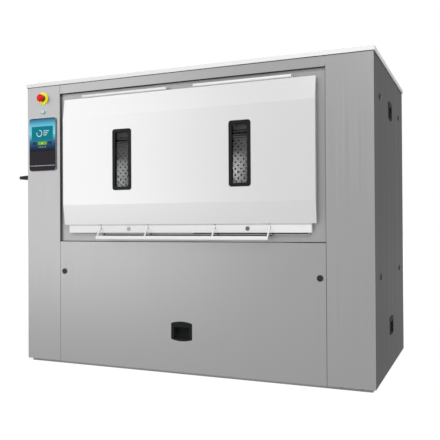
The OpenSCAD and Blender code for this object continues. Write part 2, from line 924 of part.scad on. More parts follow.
module flush_pulls() {
    color([0.2, 0.2, 0.2]) {
        flush_pull(pull_front_z);
        turned() flush_pull(pull_front_z);
        for (z = [pull_side_low_z, pull_side_high_z]) {
            on_right_side() flush_pull(z);
            turned() on_right_side() flush_pull(z);
        }
    }
}

// Quarter-turn locks

// The cam lies behind the post when the lock is shut
module quarter_turn_lock(x, z, reach) {
    y0 = -half_d;
    y_cam = -post_y + post + move_gap;
    rod_y(x, [y0 - lock_proud, y0], z, lock_r);
    rod_y(x, [y0 - e, y_cam + cam_t], z, lock_shaft_r);
    block([x - (reach < 0 ? cam_l : cam_w / 2), x + (reach > 0 ? cam_l : cam_w / 2)],
        [y_cam, y_cam + cam_t], [z - cam_w / 2, z + cam_w / 2]);
}

module lock_front_left() {
    color("gray") quarter_turn_lock(-open_hw + seam + lock_edge, lock_low_z, -1);
}

module lock_front_right() {
    color("gray") quarter_turn_lock(open_hw - seam - lock_edge, lock_low_z, 1);
}

module lock_side_front_low() {
    color("gray") on_right_side() quarter_turn_lock(-lock_side_y, lock_low_z, -1);
}

module lock_side_front_high() {
    color("gray") on_right_side() quarter_turn_lock(-lock_side_y, lock_high_z, -1);
}

module lock_side_rear_low() {
    color("gray") on_right_side() quarter_turn_lock(lock_side_y, lock_low_z, 1);
}

module lock_side_rear_high() {
    color("gray") on_right_side() quarter_turn_lock(lock_side_y, lock_high_z, 1);
}

// Controls on the left column

module estop_base() {
    y0 = -half_d;
    color("gold") difference() {
        union() {
            rod_y(control_x, [y0 - estop_plate_t, y0], estop_z, estop_plate_r);
            rod_y(control_x, [y0 - estop_collar, y0 - e], estop_z, estop_head_r - 4);
            rod_y(control_x, [y0 - 1, y0 + control_d], estop_z, estop_hole_r - 1);
        }
        rod_y(control_x, [y0 - estop_collar - 1, y0 + control_bore_d], estop_z,
            estop_head_r / 2 + turn_fit);
    }
}

module estop_head() {
    y0 = -half_d - estop_collar - estop_travel - 1;
    dome_r = estop_head_h + 12;
    color("red") {
        rod_y(control_x, [y0 - e, -half_d + 10], estop_z, estop_head_r / 2);
        translate([control_x, y0, estop_z]) rotate([90, 0, 0]) rotate_extrude() intersection() {
            square([estop_head_r, estop_head_h]);
            union() {
                square([estop_head_r, estop_head_h / 2]);
                translate([0, estop_head_h - dome_r]) circle(dome_r, $fn = 96);
            }
        }
    }
}

module button_bezel() {
    y0 = -half_d;
    color("silver") difference() {
        union() {
            rod_y(control_x, [y0 - button_proud, y0], button_z, button_r);
            rod_y(control_x, [y0 - 1, y0 + control_d], button_z, button_hole_r - 1);
        }
        rod_y(control_x, [y0 - button_proud - 1, y0 + control_bore_d], button_z,
            button_cap_r + turn_fit);
    }
}

module button_cap() {
    y0 = -half_d;
    color("teal") rod_y(control_x, [y0 - button_proud - button_travel - 1, y0 + 10], button_z,
        button_cap_r);
}

module touch_screen_housing() {
    x = [control_x - screen_w / 2, control_x + screen_w / 2];
    color("black") slab(x, [-half_d - screen_proud, -half_d], [screen_z, screen_z + screen_h], screen_r);
}

module touch_screen_glass() {
    x = [control_x - screen_w / 2 + screen_rim, control_x + screen_w / 2 - screen_rim];
    y = -half_d - screen_proud;
    color("midnightblue") slab(x, [y - 1.5, y],
        [screen_z + screen_rim, screen_z + screen_h - screen_rim], screen_r - screen_rim / 2);
}

// Main isolator on the left side

module isolator_box() {
    s = isolator_side / 2;
    color([0.25, 0.25, 0.25]) difference() {
        block([handle_x0 + move_gap, -half_w], [isolator_y - s, isolator_y + s],
            [isolator_z - s, isolator_z + s]);
        rod_x([handle_x0 - 1, -half_w - 3], isolator_y, isolator_z, isolator_shaft_r + turn_fit);
    }
}

module handle_side_view() {
    polygon([[handle_x0, isolator_y + 26], [handle_x0 - 30, isolator_y + 26],
        [handle_x1 + 3, isolator_y - handle_l * 0.55], [handle_x1, isolator_y - handle_l + 12],
        [handle_x1 + 9, isolator_y - handle_l], [handle_x0, isolator_y - handle_l]]);
}

module handle_front_view() {
    polygon([[handle_x0, -handle_h / 2], [handle_x0, handle_h / 2],
        [handle_x1 + 6, handle_h / 3], [handle_x1, handle_h / 4],
        [handle_x1, -handle_h / 4], [handle_x1 + 6, -handle_h / 3]]);
}

module isolator_handle() {
    color([0.12, 0.12, 0.12]) {
        intersection() {
            translate([0, 0, isolator_z - handle_h / 2]) linear_extrude(handle_h) handle_side_view();
            translate([0, isolator_y + 40, isolator_z]) rotate([90, 0, 0])
                linear_extrude(handle_l + 60) handle_front_view();
        }
        rod_x([handle_x0 - handle_boss_r / 2, handle_x0], isolator_y, isolator_z, handle_boss_r);
        rod_x([handle_x0 - 1, -half_w - 4], isolator_y, isolator_z, isolator_shaft_r);
    }
}

module control_cabinet() {
    x = -half_w + sheet_t + post;
    y = [-half_d + box_back, -half_d + box_back + box_l];
    z = [box_z, box_z + box_h];
    color("lightgray") {
        block([x, x + box_w - lid_t], y, z);
        block([x + box_w - lid_t - e, x + box_w], [y[0] + lid_in, y[1] - lid_in],
            [z[0] + lid_in, z[1] - lid_in]);
    }
}

// Connections

module water_inlets() {
    color("silver") for (i = [0:inlet_count - 1]) {
        x = inlet_x + i * inlet_pitch;
        rod_z(x, inlet_y, [cover_z1 - inlet_body_l, cover_z1 + e], inlet_r + hole_out - 0.3);
        rod_z(x, inlet_y, [cover_z1, cover_z1 + nut_h], inlet_r + nut_out);
        rod_z(x, inlet_y, [cover_z1 + nut_h - e, cover_z1 + nut_h + inlet_l], inlet_r);
        block([x - solenoid_w / 2, x + solenoid_w / 2], [inlet_y - solenoid_l, inlet_y],
            [cover_z1 - inlet_body_l + 4, cover_z1 - inlet_body_l + 4 + solenoid_w]);
    }
}

module power_gland() {
    color([0.3, 0.3, 0.3]) difference() {
        union() {
            rod_z(inlet_x, gland_y, [cover_z1 - gland_below, cover_z1 + e],
                gland_bore_r + gland_t - 0.3);
            translate([inlet_x, gland_y, cover_z1])
                cylinder(h = gland_hex_h, r = gland_bore_r + gland_hex_out, $fn = 6);
            rod_z(inlet_x, gland_y, [cover_z1 + gland_hex_h - e, cover_z1 + gland_above],
                gland_bore_r + gland_t + 2);
        }
        rod_z(inlet_x, gland_y, [cover_z1 - gland_below - 1, cover_z1 + gland_above + 1],
            gland_bore_r);
    }
}

module drain_outlet() {
    color("gray") difference() {
        union() {
            rod_z(drain_x, 0, [drain_end_z, drain_end_z + drain_spigot + e], drain_r);
            rod_z(drain_x, 0, [drain_end_z + drain_spigot, valve_z0], drain_pipe_r);
            for (z = [rail_h, valve_z0 - drain_flange_t]) {
                rod_z(drain_x, 0, [z, z + drain_flange_t], drain_pipe_r + drain_flange);
            }
        }
        rod_z(drain_x, 0, [drain_end_z - 1, valve_z0 + 1], drain_r - drain_t);
    }
}

module drain_valve() {
    s = valve_w / 2;
    color([0.35, 0.35, 0.38]) difference() {
        union() {
            block([drain_x - s, drain_x + s], [-s, s], [valve_z0, valve_z1]);
            block([drain_x - s - actuator_l, drain_x - s + e], [-s + 20, s - 20],
                [valve_z0 + 15, valve_z1 - 15]);
        }
        rod_z(drain_x, 0, [valve_z0 - 1, valve_z1 + 1], drain_r - drain_t);
    }
}

// Tub stand

module stand_leg() {
    x = [leg_x - leg_w / 2, leg_x + leg_w / 2];
    y = [leg_y - leg_w / 2, leg_y + leg_w / 2];
    difference() {
        block(x, y, [rail_h, stand_z + e]);
        block([x[0] + leg_t, x[1] - leg_t], [y[0] + leg_t, y[1] - leg_t], [rail_h - 1, stand_z - leg_t]);
    }
}

module motor_hanger() {
    x = [motor_x0 + 40, leg_x + leg_w / 2];
    y = motor_r - 30;
    block([x[0], motor_x1 - foot_in], [-motor_r, motor_r], [mount_plate_z, mount_plate_z + hanger_t]);
    front_and_rear() for (hx = [x[0], x[1] - hanger_w]) {
        block([hx, hx + hanger_w], [y, motor_r], [mount_plate_z, stand_z + e]);
        block([hx, hx + hanger_w], [y, leg_y - leg_w / 2 + e], [stand_z, stand_z + hanger_w]);
    }
}

module tub_stand() {
    z = [stand_z, stand_z + stand_h];
    x = leg_x + leg_w / 2;
    y = [leg_y - leg_w / 2, leg_y + leg_w / 2];
    color("dimgray") {
        four_corners() stand_leg();
        front_and_rear() block([-x, x], y, z);
        both_sides() {
            block([x - leg_w, x], [-y[0] - e, y[0] + e], z);
            difference() {
                block([leg_x - saddle_t / 2, leg_x + saddle_t / 2],
                    [-y[1] - saddle_out, y[1] + saddle_out], [z[1] - e, saddle_z]);
                rod_x([leg_x - saddle_t, leg_x + saddle_t], 0, axis_z, tub_r, $fn = 96);
            }
        }
        motor_hanger();
    }
}

// Tub

module tub_mouths(grow, y_end) {
    block([-mouth_hw - grow, mouth_hw + grow], [-y_end, y_end], [mouth_z0 - grow, mouth_z1 + grow]);
}

module tub_shell() {
    color("lightsteelblue") difference() {
        union() {
            rod_x([-tub_hl, tub_hl], 0, axis_z, tub_r, $fn = 96);
            tub_mouths(mouth_t, -surround_y - surround_t);
            rod_z(drain_x, 0, [valve_z1, axis_z - tub_r + 20], drain_pipe_r);
        }
        rod_x([-tub_hl - 1, tub_hl + 1], 0, axis_z, tub_r - tub_t, $fn = 96);
        tub_mouths(0, half_d);
        rod_z(drain_x, 0, [valve_z1 - 1, axis_z - tub_r + 21], drain_r - drain_t);
    }
}

module tub_end_plates() {
    color("lightsteelblue") both_sides() difference() {
        union() {
            rod_x([tub_hl, surround_hw], 0, axis_z, tub_r, $fn = 96);
            for (i = [0:rib_count - 1]) {
                translate([surround_hw - e, 0, axis_z]) rotate([(i + 0.5) * 360 / rib_count, 0, 0])
                    block([0, rib_d], [-rib_t / 2, rib_t / 2], [flange_r + rib_in, tub_r - rib_edge]);
            }
        }
        rod_x([tub_hl - 1, surround_hw + 1], 0, axis_z, seal_r);
    }
}

module surround() {
    x = [-surround_hw, surround_hw];
    y = surround_y;
    z = [surround_z0, surround_z1];
    difference() {
        block(x, [y, y + surround_fold], z);
        block([x[0] + sheet_t, x[1] - sheet_t], [y + surround_t, y + surround_fold + 1],
            [z[0] + sheet_t, z[1] - sheet_t]);
        tub_mouths(0, half_d);
    }
    for (px = receiver_x) rod_y(px, [y - peg_l, y + e], receiver_z, peg_r);
    block([-drip_hw, drip_hw], [y - drip_out, y + e], [drip_z - drip_h, drip_z]);
}

module door_surrounds() {
    color("gray") {
        surround();
        turned() surround();
    }
}

module door_gasket() {
    y = [surround_y - door_gap + move_gap, surround_y];
    difference() {
        block([-mouth_hw - gasket_w, mouth_hw + gasket_w], y,
            [mouth_z0 - gasket_w, mouth_z1 + gasket_w]);
        tub_mouths(0, half_d);
    }
}

module tub_seals() {
    color([0.18, 0.18, 0.18]) {
        front_and_rear() door_gasket();
        both_sides() difference() {
            rod_x([tub_hl, surround_hw], 0, axis_z, seal_r);
            rod_x([tub_hl - 1, surround_hw + 1], 0, axis_z, shaft_r + turn_fit);
        }
    }
}

module hinge() {
    x0 = hinge_in;
    x1 = hinge_in + hinge_l;
    for (x = [[x0, x0 + knuckle_l], [x1 - knuckle_l, x1]]) {
        rod_x(x, hinge_y, hinge_z, barrel_r);
        block(x, [hinge_y, surround_y], [hinge_z + barrel_r - leaf_t, hinge_z + barrel_r]);
        block(x, [surround_y - leaf_t, surround_y], [hinge_z - 6, hinge_z + barrel_r]);
    }
}

module four_hinges() {
    both_sides() children();
    turned() both_sides() children();
}

module hinge_knuckles() {
    color("whitesmoke") four_hinges() difference() {
        hinge();
        rod_x([hinge_in - 1, hinge_in + hinge_l + 1], hinge_y, hinge_z, hinge_pin_r + turn_fit);
    }
}

module hinge_pins() {
    color("silver") four_hinges() {
        rod_x([hinge_in, hinge_in + hinge_l], hinge_y, hinge_z, hinge_pin_r);
    }
}

// Bearings

module bearing_housings() {
    x0 = surround_hw;
    color("slategray") both_sides() difference() {
        union() {
            rod_x([x0, housing_x1], 0, axis_z, bearing_r + housing_t);
            rod_x([x0, x0 + flange_t], 0, axis_z, flange_r);
        }
        rod_x([x0 + housing_end, housing_x1 - housing_end], 0, axis_z, bearing_r + turn_fit);
        rod_x([x0 - 1, housing_x1 + 1], 0, axis_z, shaft_r + shaft_gap);
    }
}

module shaft_bearings() {
    color("lightgray") both_sides() difference() {
        rod_x([surround_hw + housing_end, housing_x1 - housing_end], 0, axis_z, bearing_r);
        rod_x([surround_hw, housing_x1], 0, axis_z, shaft_r + turn_fit);
    }
}

// Drive

module motor() {
    color("royalblue") difference() {
        union() {
            rod_x([motor_x0, motor_x1], 0, motor_z, motor_r - fin_d);
            for (x = [motor_x0 + fins_in:fin_pitch:motor_x1 - rotor_in]) {
                rod_x([x, x + fin_t], 0, motor_z, motor_r);
            }
            block([motor_x0 + foot_in, motor_x1 - foot_in], [-motor_r + fin_d, motor_r - fin_d],
                [motor_z + motor_r / 2, mount_plate_z]);
            block([motor_x0 + terminal_in, motor_x0 + terminal_in + terminal_l],
                [-motor_r - terminal_out, -motor_r / 2],
                [motor_z - terminal_h / 2, motor_z + terminal_h / 2]);
        }
        rod_x([motor_x1 - rotor_in - 10, motor_x1 + 1], 0, motor_z, motor_shaft_r + turn_fit);
    }
}

module grooved_pulley(r, rim) {
    pitch = pulley_w / (belt_count + 0.5);
    difference() {
        rod_x([pulley_x0, pulley_x0 + pulley_w], 0, 0, r + 3, $fn = 96);
        for (i = [0:belt_count - 1]) {
            x = pulley_x0 + pitch * (i + 0.75);
            difference() {
                rod_x([x - belt_w / 2 - move_gap, x + belt_w / 2 + move_gap], 0, 0, r + 5, $fn = 96);
                rod_x([x - belt_w / 2 - 1, x + belt_w / 2 + 1], 0, 0, r, $fn = 96);
            }
        }
        if (rim > 0) {
            rod_x([pulley_x0 - 1, pulley_x0 + pulley_w + 1], 0, 0, r - rim, $fn = 96);
        }
    }
}

module drum_pulley() {
    hub = [pulley_x0, pulley_x0 + pulley_w];
    mid = pulley_x0 + pulley_w / 2;
    color("darkslategray") translate([0, 0, axis_z]) difference() {
        union() {
            grooved_pulley(drum_pulley_r, pulley_rim);
            rod_x(hub, 0, 0, shaft_r + pulley_hub_t);
            rod_x([mid - web_t / 2, mid + web_t / 2], 0, 0, drum_pulley_r - pulley_rim / 2);
        }
        for (i = [0:web_hole_count - 1]) rotate([i * 360 / web_hole_count, 0, 0]) {
            rod_x(hub, 0, (shaft_r + pulley_hub_t + drum_pulley_r - pulley_rim) / 2, web_hole_r);
        }
        rod_x([hub[0] - 1, hub[1] + 1], 0, 0, shaft_r);
    }
}

module motor_pulley() {
    color("darkslategray") translate([0, 0, motor_z]) {
        grooved_pulley(motor_pulley_r, 0);
        rod_x([motor_x1 - rotor_in, pulley_x0 + pulley_w + shaft_past], 0, 0, motor_shaft_r);
    }
}

// The outline that a belt follows round the two pulleys, seen along the shafts. The flats
// between its points lie outside the arcs, so the belt clears the grooves.
module belt_outline(grow) {
    r1 = drum_pulley_r + grow;
    r2 = motor_pulley_r + grow;
    a = acos((r1 - r2) / belt_drop);
    polygon(concat(
        arc_points([0, 0], r1 / cos((180 - a) / belt_steps), a, 360 - a, belt_steps),
        arc_points([belt_drop, 0], r2 / cos(a / belt_steps * 2), -a, a, belt_steps / 2)));
}

module drive_belts() {
    pitch = pulley_w / (belt_count + 0.5);
    color([0.1, 0.1, 0.1]) for (i = [0:belt_count - 1]) {
        x = pulley_x0 + pitch * (i + 0.75) - belt_w / 2;
        translate([x, 0, axis_z]) rotate([0, 90, 0]) linear_extrude(belt_w) difference() {
            belt_outline(belt_t);
            belt_outline(move_gap);
        }
    }
}

// Drum

module drum_openings() {
    both_sides() block([opening_in, drum_hl - disc_t - opening_out], [-drum_r - 1, -drum_r / 2],
        [axis_z - opening_hz, axis_z + opening_hz]);
}

module perforations() {
    step = (drum_hl - disc_t) / (hole_count + 1);
    for (a = [1:hole_rows - 1], i = [1:hole_count], s = [-1, 1]) {
        turn = 360 * a / hole_rows;
        if (cos(turn) < 0.84) {
            translate([s * i * step, 0, axis_z]) rotate([turn, 0, 0])
                translate([0, -drum_r + 10, 0]) rotate([90, 0, 0]) cylinder(h = 20, r = hole_r);
        }
    }
}

module drum_shell() {
    color("lightgray") difference() {
        union() {
            difference() {
                rod_x([-drum_hl + disc_t, drum_hl - disc_t], 0, axis_z, drum_r, $fn = 96);
                rod_x([-drum_hl, drum_hl], 0, axis_z, drum_r - drum_t, $fn = 96);
                drum_openings();
                perforations();
            }
            both_sides() for (x = lug_x) intersection() {
                rod_x([x, x + lug_l], leaf_axis_y, leaf_axis_z, lug_r);
                rod_x([x, x + lug_l], 0, axis_z, drum_r - 1, $fn = 96);
            }
        }
        rod_x([-drum_hl, drum_hl], leaf_axis_y, leaf_axis_z, leaf_pin_r + turn_fit);
    }
}

module drum_bulkheads() {
    color("silver") {
        both_sides() rod_x([drum_hl - disc_t, drum_hl], 0, axis_z, drum_r, $fn = 96);
        rod_x([-disc_t / 2, disc_t / 2], 0, axis_z, drum_r - drum_t, $fn = 96);
    }
}

module lifter() {
    r = sqrt(pow(drum_r - drum_t, 2) - pow(lifter_w / 2, 2)) - 0.1;
    x = [disc_t / 2 + 20, drum_hl - disc_t - 20];
    translate([x[0], 0, axis_z]) rotate([0, 90, 0]) linear_extrude(x[1] - x[0])
        polygon([[r, -lifter_w / 2], [r - lifter_h, -lifter_w / 5], [r - lifter_h, lifter_w / 5],
            [r, lifter_w / 2]]);
}

module drum_lifters() {
    color("silver") both_sides() for (a = [0, 90, 180]) {
        translate([0, 0, axis_z]) rotate([a, 0, 0]) translate([0, 0, -axis_z]) lifter();
    }
}

module drum_shafts() {
    color("gray") {
        both_sides() rod_x([drum_hl, drum_hl + hub_t], 0, axis_z, hub_r);
        rod_x([drum_hl, pulley_x0 + pulley_w + shaft_past], 0, axis_z, shaft_r);
        rod_x([-housing_x1 - shaft_past, -drum_hl], 0, axis_z, shaft_r);
    }
}

// The leaf hangs from its upper edge and swings into the drum
module drum_door() {
    color("gainsboro") {
        difference() {
            intersection() {
                rod_x([leaf_x0, leaf_x1], 0, axis_z, leaf_r, $fn = 96);
                block([leaf_x0, leaf_x1], [-drum_r, -drum_r / 2],
                    [axis_z - leaf_hz, axis_z + leaf_hz]);
            }
            rod_x([leaf_x0 - 1, leaf_x1 + 1], 0, axis_z, leaf_r - drum_t, $fn = 96);
            for (x = lug_x) {
                rod_x([x - 1, x + lug_l + 1], leaf_axis_y, leaf_axis_z, lug_r + 2);
            }
        }
        rod_x([lug_x[0] + lug_l + lug_gap, lug_x[1] - lug_gap], leaf_axis_y, leaf_axis_z,
            leaf_barrel_r - move_gap);
        rod_x([lug_x[0], lug_x[1] + lug_l], leaf_axis_y, leaf_axis_z, leaf_pin_r);
        for (share = [0.3, 0.7]) {
            mid = leaf_x0 + (leaf_x1 - leaf_x0) * share;
            y = -sqrt(leaf_r * leaf_r - latch_drop * latch_drop);
            block([mid - latch_w / 2, mid + latch_w / 2], [y - 2, y + latch_h],
                [axis_z - latch_drop - latch_h / 2, axis_z - latch_drop + latch_h / 2]);
        }
    }
}

module drum_door_right() {
    drum_door();
}

module drum_door_left() {
    mirror([1, 0, 0]) drum_door();
}

// Doors

module window_shape(x, y, in, r) {
    slab([x - window_w / 2 + in, x + window_w / 2 - in], y,
        [window_z - window_h / 2 + in, window_z + window_h / 2 - in], r);
}

module at_windows() {
    for (x = [-window_pitch / 2, window_pitch / 2]) translate([x, 0, 0]) children();
}

// The skin's outline seen from the side, pushed in by the sheet's thickness
module skin_side_view(in) {
    y0 = -half_d - frame_proud;
    ye = -half_d - door_edge_proud + in;
    ym = -half_d - door_proud + in;
    polygon([[y0 + in, skin_z0 + in], [ye, skin_z0 + in], [ym, skin_z0 + facet_low_h],
        [ym, skin_z1 - facet_top_h], [ye, skin_z1 - in], [y0 + in, skin_z1 - in]]);
}

module door_skin() {
    difference() {
        translate([-skin_hw, 0, 0]) rotate([90, 0, 90]) linear_extrude(2 * skin_hw) skin_side_view(0);
        translate([-skin_hw + door_t, 0, 0]) rotate([90, 0, 90])
            linear_extrude(2 * skin_hw - 2 * door_t) skin_side_view(door_t);
        at_windows() window_shape(0, [-half_d - 60, -half_d], 0, bezel_r);
    }
}

module door_frame() {
    x = frame_hw;
    difference() {
        union() {
            difference() {
                block([-x, x], [frame_y0, frame_y1], [frame_z0, frame_z1]);
                block([-x + door_t, x - door_t], [frame_y0 + door_t, frame_y1 - door_t],
                    [frame_z0 + door_t, frame_z1 - door_t]);
            }
            for (s = [-1, 1], a = arm_x) {
                block([s * a - arm_plate_x - arm_plate_t, s * a - arm_plate_x],
                    [frame_y0 + 1, frame_y1 - 1], [frame_z0 + 1, bar_shaft_z + slot_up]);
            }
            for (rx = receiver_x) {
                rod_y(rx, [frame_y0 - receiver_proud, frame_y1], receiver_z, receiver_r);
            }
            both_sides() door_knuckle();
        }
        at_windows() window_shape(0, [frame_y0 - 1, frame_y1 + 1], 0, bezel_r);
        rod_x([-x + 10, x - 10], bar_shaft_y, bar_shaft_z, bar_shaft_r + turn_fit);
        for (s = [-1, 1], a = arm_x) {
            block([s * a - arm_t / 2 - 1, s * a + arm_t / 2 + 1], [frame_y0 - 1, frame_y1 - door_t],
                [bar_shaft_z - slot_down, bar_shaft_z + arm_w]);
        }
        for (rx = receiver_x) {
            rod_y(rx, [surround_y - peg_l - peg_gap, frame_y1 + 1], receiver_z, peg_r + peg_gap);
        }
        both_sides() rod_x([hinge_in, hinge_in + hinge_l], hinge_y, hinge_z, hinge_pin_r + turn_fit);
    }
}

module door_knuckle() {
    x = [hinge_in + knuckle_l + move_gap, hinge_in + hinge_l - knuckle_l - move_gap];
    rod_x(x, hinge_y, hinge_z, barrel_r);
    block(x, [frame_y0, frame_y0 + leaf_t], [frame_z1 - 4, hinge_z - barrel_r / 2]);
}

module window_bezels() {
    y = [-half_d - door_proud - bezel_proud, frame_y1 - door_t];
    at_windows() difference() {
        window_shape(0, y, 0, bezel_r);
        window_shape(0, [y[0] - 1, y[1] + 1], bezel_w, bezel_r / 2);
    }
}

module window_panes() {
    y = -half_d - door_proud - bezel_proud + pane_back;
    at_windows() window_shape(0, [y, y + pane_t], bezel_w, bezel_r / 2);
}

module pull_bar() {
    for (s = [-1, 1], a = arm_x) translate([s * a - arm_t / 2, bar_shaft_y, bar_shaft_z]) {
        rotate([-arm_tilt, 0, 0]) block([0, arm_t], [-arm_w / 2, arm_w / 2], [-arm_l, 0]);
    }
    rod_x([-arm_x[1] - shaft_end, arm_x[1] + shaft_end], bar_shaft_y, bar_shaft_z, bar_shaft_r);
    translate([-bar_l / 2, bar_y, bar_z]) rotate([90, 0, 90]) linear_extrude(bar_l)
        polygon(round_box_points(bar_t / 2, bar_h / 2, bar_edge_r));
}

module front_door_skin() {
    color("white") door_skin();
}

module front_door_frame() {
    color("whitesmoke") door_frame();
}

module front_window_bezels() {
    color([0.1, 0.1, 0.1]) window_bezels();
}

module front_window_panes() {
    color("lightblue", 0.4) window_panes();
}

module front_pull_bar() {
    color("whitesmoke") pull_bar();
}

module rear_door_leaf() {
    color("white") turned() {
        translate([0, e, 0]) door_skin();
        door_frame();
    }
}

module rear_window_bezels() {
    color([0.1, 0.1, 0.1]) turned() window_bezels();
}

module rear_window_panes() {
    color("lightblue", 0.4) turned() window_panes();
}

module rear_pull_bar() {
    color("whitesmoke") turned() pull_bar();
}

base_frame();
cabinet_frame();
left_column_panel();
right_column_panel();
top_fascia();
lower_service_panel();
left_side_panel();
right_side_panel();
rear_column_panels();
rear_fascia();
rear_lower_panel();
flush_pulls();
top_cover();
estop_base();
button_bezel();
touch_screen_housing();
touch_screen_glass();
isolator_box();
control_cabinet();
water_inlets();
power_gland();
drain_outlet();
tub_shell();
tub_end_plates();
tub_stand();
door_surrounds();
tub_seals();
hinge_knuckles();
hinge_pins();
bearing_housings();
shaft_bearings();
motor();
drain_valve();
drive_belts();
drum_shell();
drum_bulkheads();
drum_lifters();
drum_shafts();
drum_pulley();
drum_door_left();
drum_door_right();
motor_pulley();
front_door_skin();
front_door_frame();
front_window_bezels();
front_window_panes();
front_pull_bar();
rear_door_leaf();
rear_window_bezels();
rear_window_panes();
rear_pull_bar();
estop_head();
button_cap();
isolator_handle();
lock_front_left();
lock_front_right();
lock_side_front_low();
lock_side_front_high();
lock_side_rear_low();
lock_side_rear_high();
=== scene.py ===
import json
import math

import bmesh
import bpy
from mathutils import Matrix, Vector

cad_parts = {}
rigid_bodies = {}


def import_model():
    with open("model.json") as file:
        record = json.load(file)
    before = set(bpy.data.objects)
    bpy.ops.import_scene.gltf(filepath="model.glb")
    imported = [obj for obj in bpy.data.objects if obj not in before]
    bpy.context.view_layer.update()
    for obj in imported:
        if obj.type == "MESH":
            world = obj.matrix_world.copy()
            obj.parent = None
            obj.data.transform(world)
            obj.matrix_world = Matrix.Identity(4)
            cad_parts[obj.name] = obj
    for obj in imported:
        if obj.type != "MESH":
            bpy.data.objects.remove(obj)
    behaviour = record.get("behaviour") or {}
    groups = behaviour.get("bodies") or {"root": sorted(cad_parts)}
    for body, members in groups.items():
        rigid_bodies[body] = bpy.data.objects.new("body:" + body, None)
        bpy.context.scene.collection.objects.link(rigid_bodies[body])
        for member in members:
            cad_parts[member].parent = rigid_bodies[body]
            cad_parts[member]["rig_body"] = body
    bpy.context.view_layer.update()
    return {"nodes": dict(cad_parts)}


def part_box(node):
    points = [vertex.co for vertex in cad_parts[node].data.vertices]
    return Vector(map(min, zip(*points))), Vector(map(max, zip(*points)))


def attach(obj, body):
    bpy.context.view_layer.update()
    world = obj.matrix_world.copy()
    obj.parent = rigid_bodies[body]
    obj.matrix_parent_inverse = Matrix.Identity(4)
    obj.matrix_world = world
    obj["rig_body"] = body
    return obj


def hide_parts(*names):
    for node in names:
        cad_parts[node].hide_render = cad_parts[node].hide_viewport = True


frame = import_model()
MM = 0.001


# Camera. It stands to the right of the machine and a little below half its height, as the
# photograph was taken. Its place was worked out from the casing's corners. No lens shift.
CAMERA_AT = (1.3937, -3.3123, 0.7481)
CAMERA_YAW = 22.88
CAMERA_PITCH = 0.42
CAMERA_ROLL = -0.32
FOCAL_PX = 626.5
PICTURE_PX = 440
SENSOR = 36.0

camera_data = bpy.data.cameras.new("camera")
camera_data.sensor_width = SENSOR
camera_data.lens = FOCAL_PX / PICTURE_PX * SENSOR
camera = bpy.data.objects.new("camera", camera_data)
yaw, pitch, roll = (math.radians(a) for a in (CAMERA_YAW, CAMERA_PITCH, CAMERA_ROLL))
ahead = Vector((-math.sin(yaw) * math.cos(pitch), math.cos(yaw) * math.cos(pitch), math.sin(pitch)))
level_right = Vector((math.cos(yaw), math.sin(yaw), 0))
level_up = level_right.cross(ahead)
right = math.cos(roll) * level_right + math.sin(roll) * level_up
up = math.cos(roll) * level_up - math.sin(roll) * level_right
camera.matrix_world = Matrix.Translation(CAMERA_AT) @ Matrix((right, up, -ahead)).transposed().to_4x4()
bpy.context.scene.collection.objects.link(camera)
bpy.context.scene.camera = camera


# Studio. A plain pale floor under a white surround, with five soft lamps: a large one at the
# front left, one high at the front right, which reaches the drum through the windows, one
# overhead, and two weak low ones. The floor is white to the camera and keeps a faint shadow.
FLOOR_SIDE = 60.0
FLOOR_COLOUR = "#f4f4f4"
AMBIENT = 0.32
SHADOW_KEPT = 0.2
FLOOR_WHITE = 1.12
SHADOW_NEAR = 1.6
SHADOW_FAR = 3.2
LAMPS_AIM_AT = (0, 0, 0.8)
# Name, place, width and height in metres, and watts
LAMPS = (
    ("key_lamp", (-5.4, -6.0, 3.0), 5.0, 6.5, 140),
    ("right_lamp", (2.3, -4.3, 4.9), 1.6, 1.6, 255),
    ("top_lamp", (-0.6, -1.6, 5.2), 3.0, 3.0, 14),
    ("fill_lamp", (3.4, -2.4, 0.9), 1.0, 1.8, 12),
    ("low_lamp", (-2.3, -3.8, 0.35), 2.4, 0.5, 6),
)


def colour(code):
    """An sRGB hex code as the linear colour that a shader takes."""
    parts = [int(code[i:i + 2], 16) / 255 for i in (1, 3, 5)]
    return tuple(p / 12.92 if p <= 0.04045 else ((p + 0.055) / 1.055) ** 2.4 for p in parts) + (1.0,)


def add(tree, kind, inputs=None, **settings):
    """Adds a node with its settings. Inputs take a value, or the output that feeds them."""
    node = tree.nodes.new(kind)
    for name, value in settings.items():
        setattr(node, name, value)
    for name, value in (inputs or {}).items():
        if isinstance(value, bpy.types.NodeSocket):
            tree.links.new(value, node.inputs[name])
        else:
            node.inputs[name].default_value = value
    return node


def seen_by_eye(tree):
    """1 for rays from the camera, from mirrors and through glass, and 0 for the light itself."""
    path = add(tree, "ShaderNodeLightPath")
    first = add(tree, "ShaderNodeMath", {0: path.outputs["Is Camera Ray"],
        1: path.outputs["Is Glossy Ray"]}, operation="MAXIMUM")
    return add(tree, "ShaderNodeMath", {0: first.outputs[0],
        1: path.outputs["Is Transmission Ray"]}, operation="MAXIMUM").outputs[0]


world = bpy.data.worlds.new("white_surround")
world.use_nodes = True
world.node_tree.nodes.clear()
surround_light = add(world.node_tree, "ShaderNodeMapRange",
    {"Value": seen_by_eye(world.node_tree), "To Min": AMBIENT, "To Max": 1.0})
background = add(world.node_tree, "ShaderNodeBackground",
    {"Color": (1, 1, 1, 1), "Strength": surround_light.outputs["Result"]})
add(world.node_tree, "ShaderNodeOutputWorld", {"Surface": background.outputs["Background"]})
bpy.context.scene.world = world

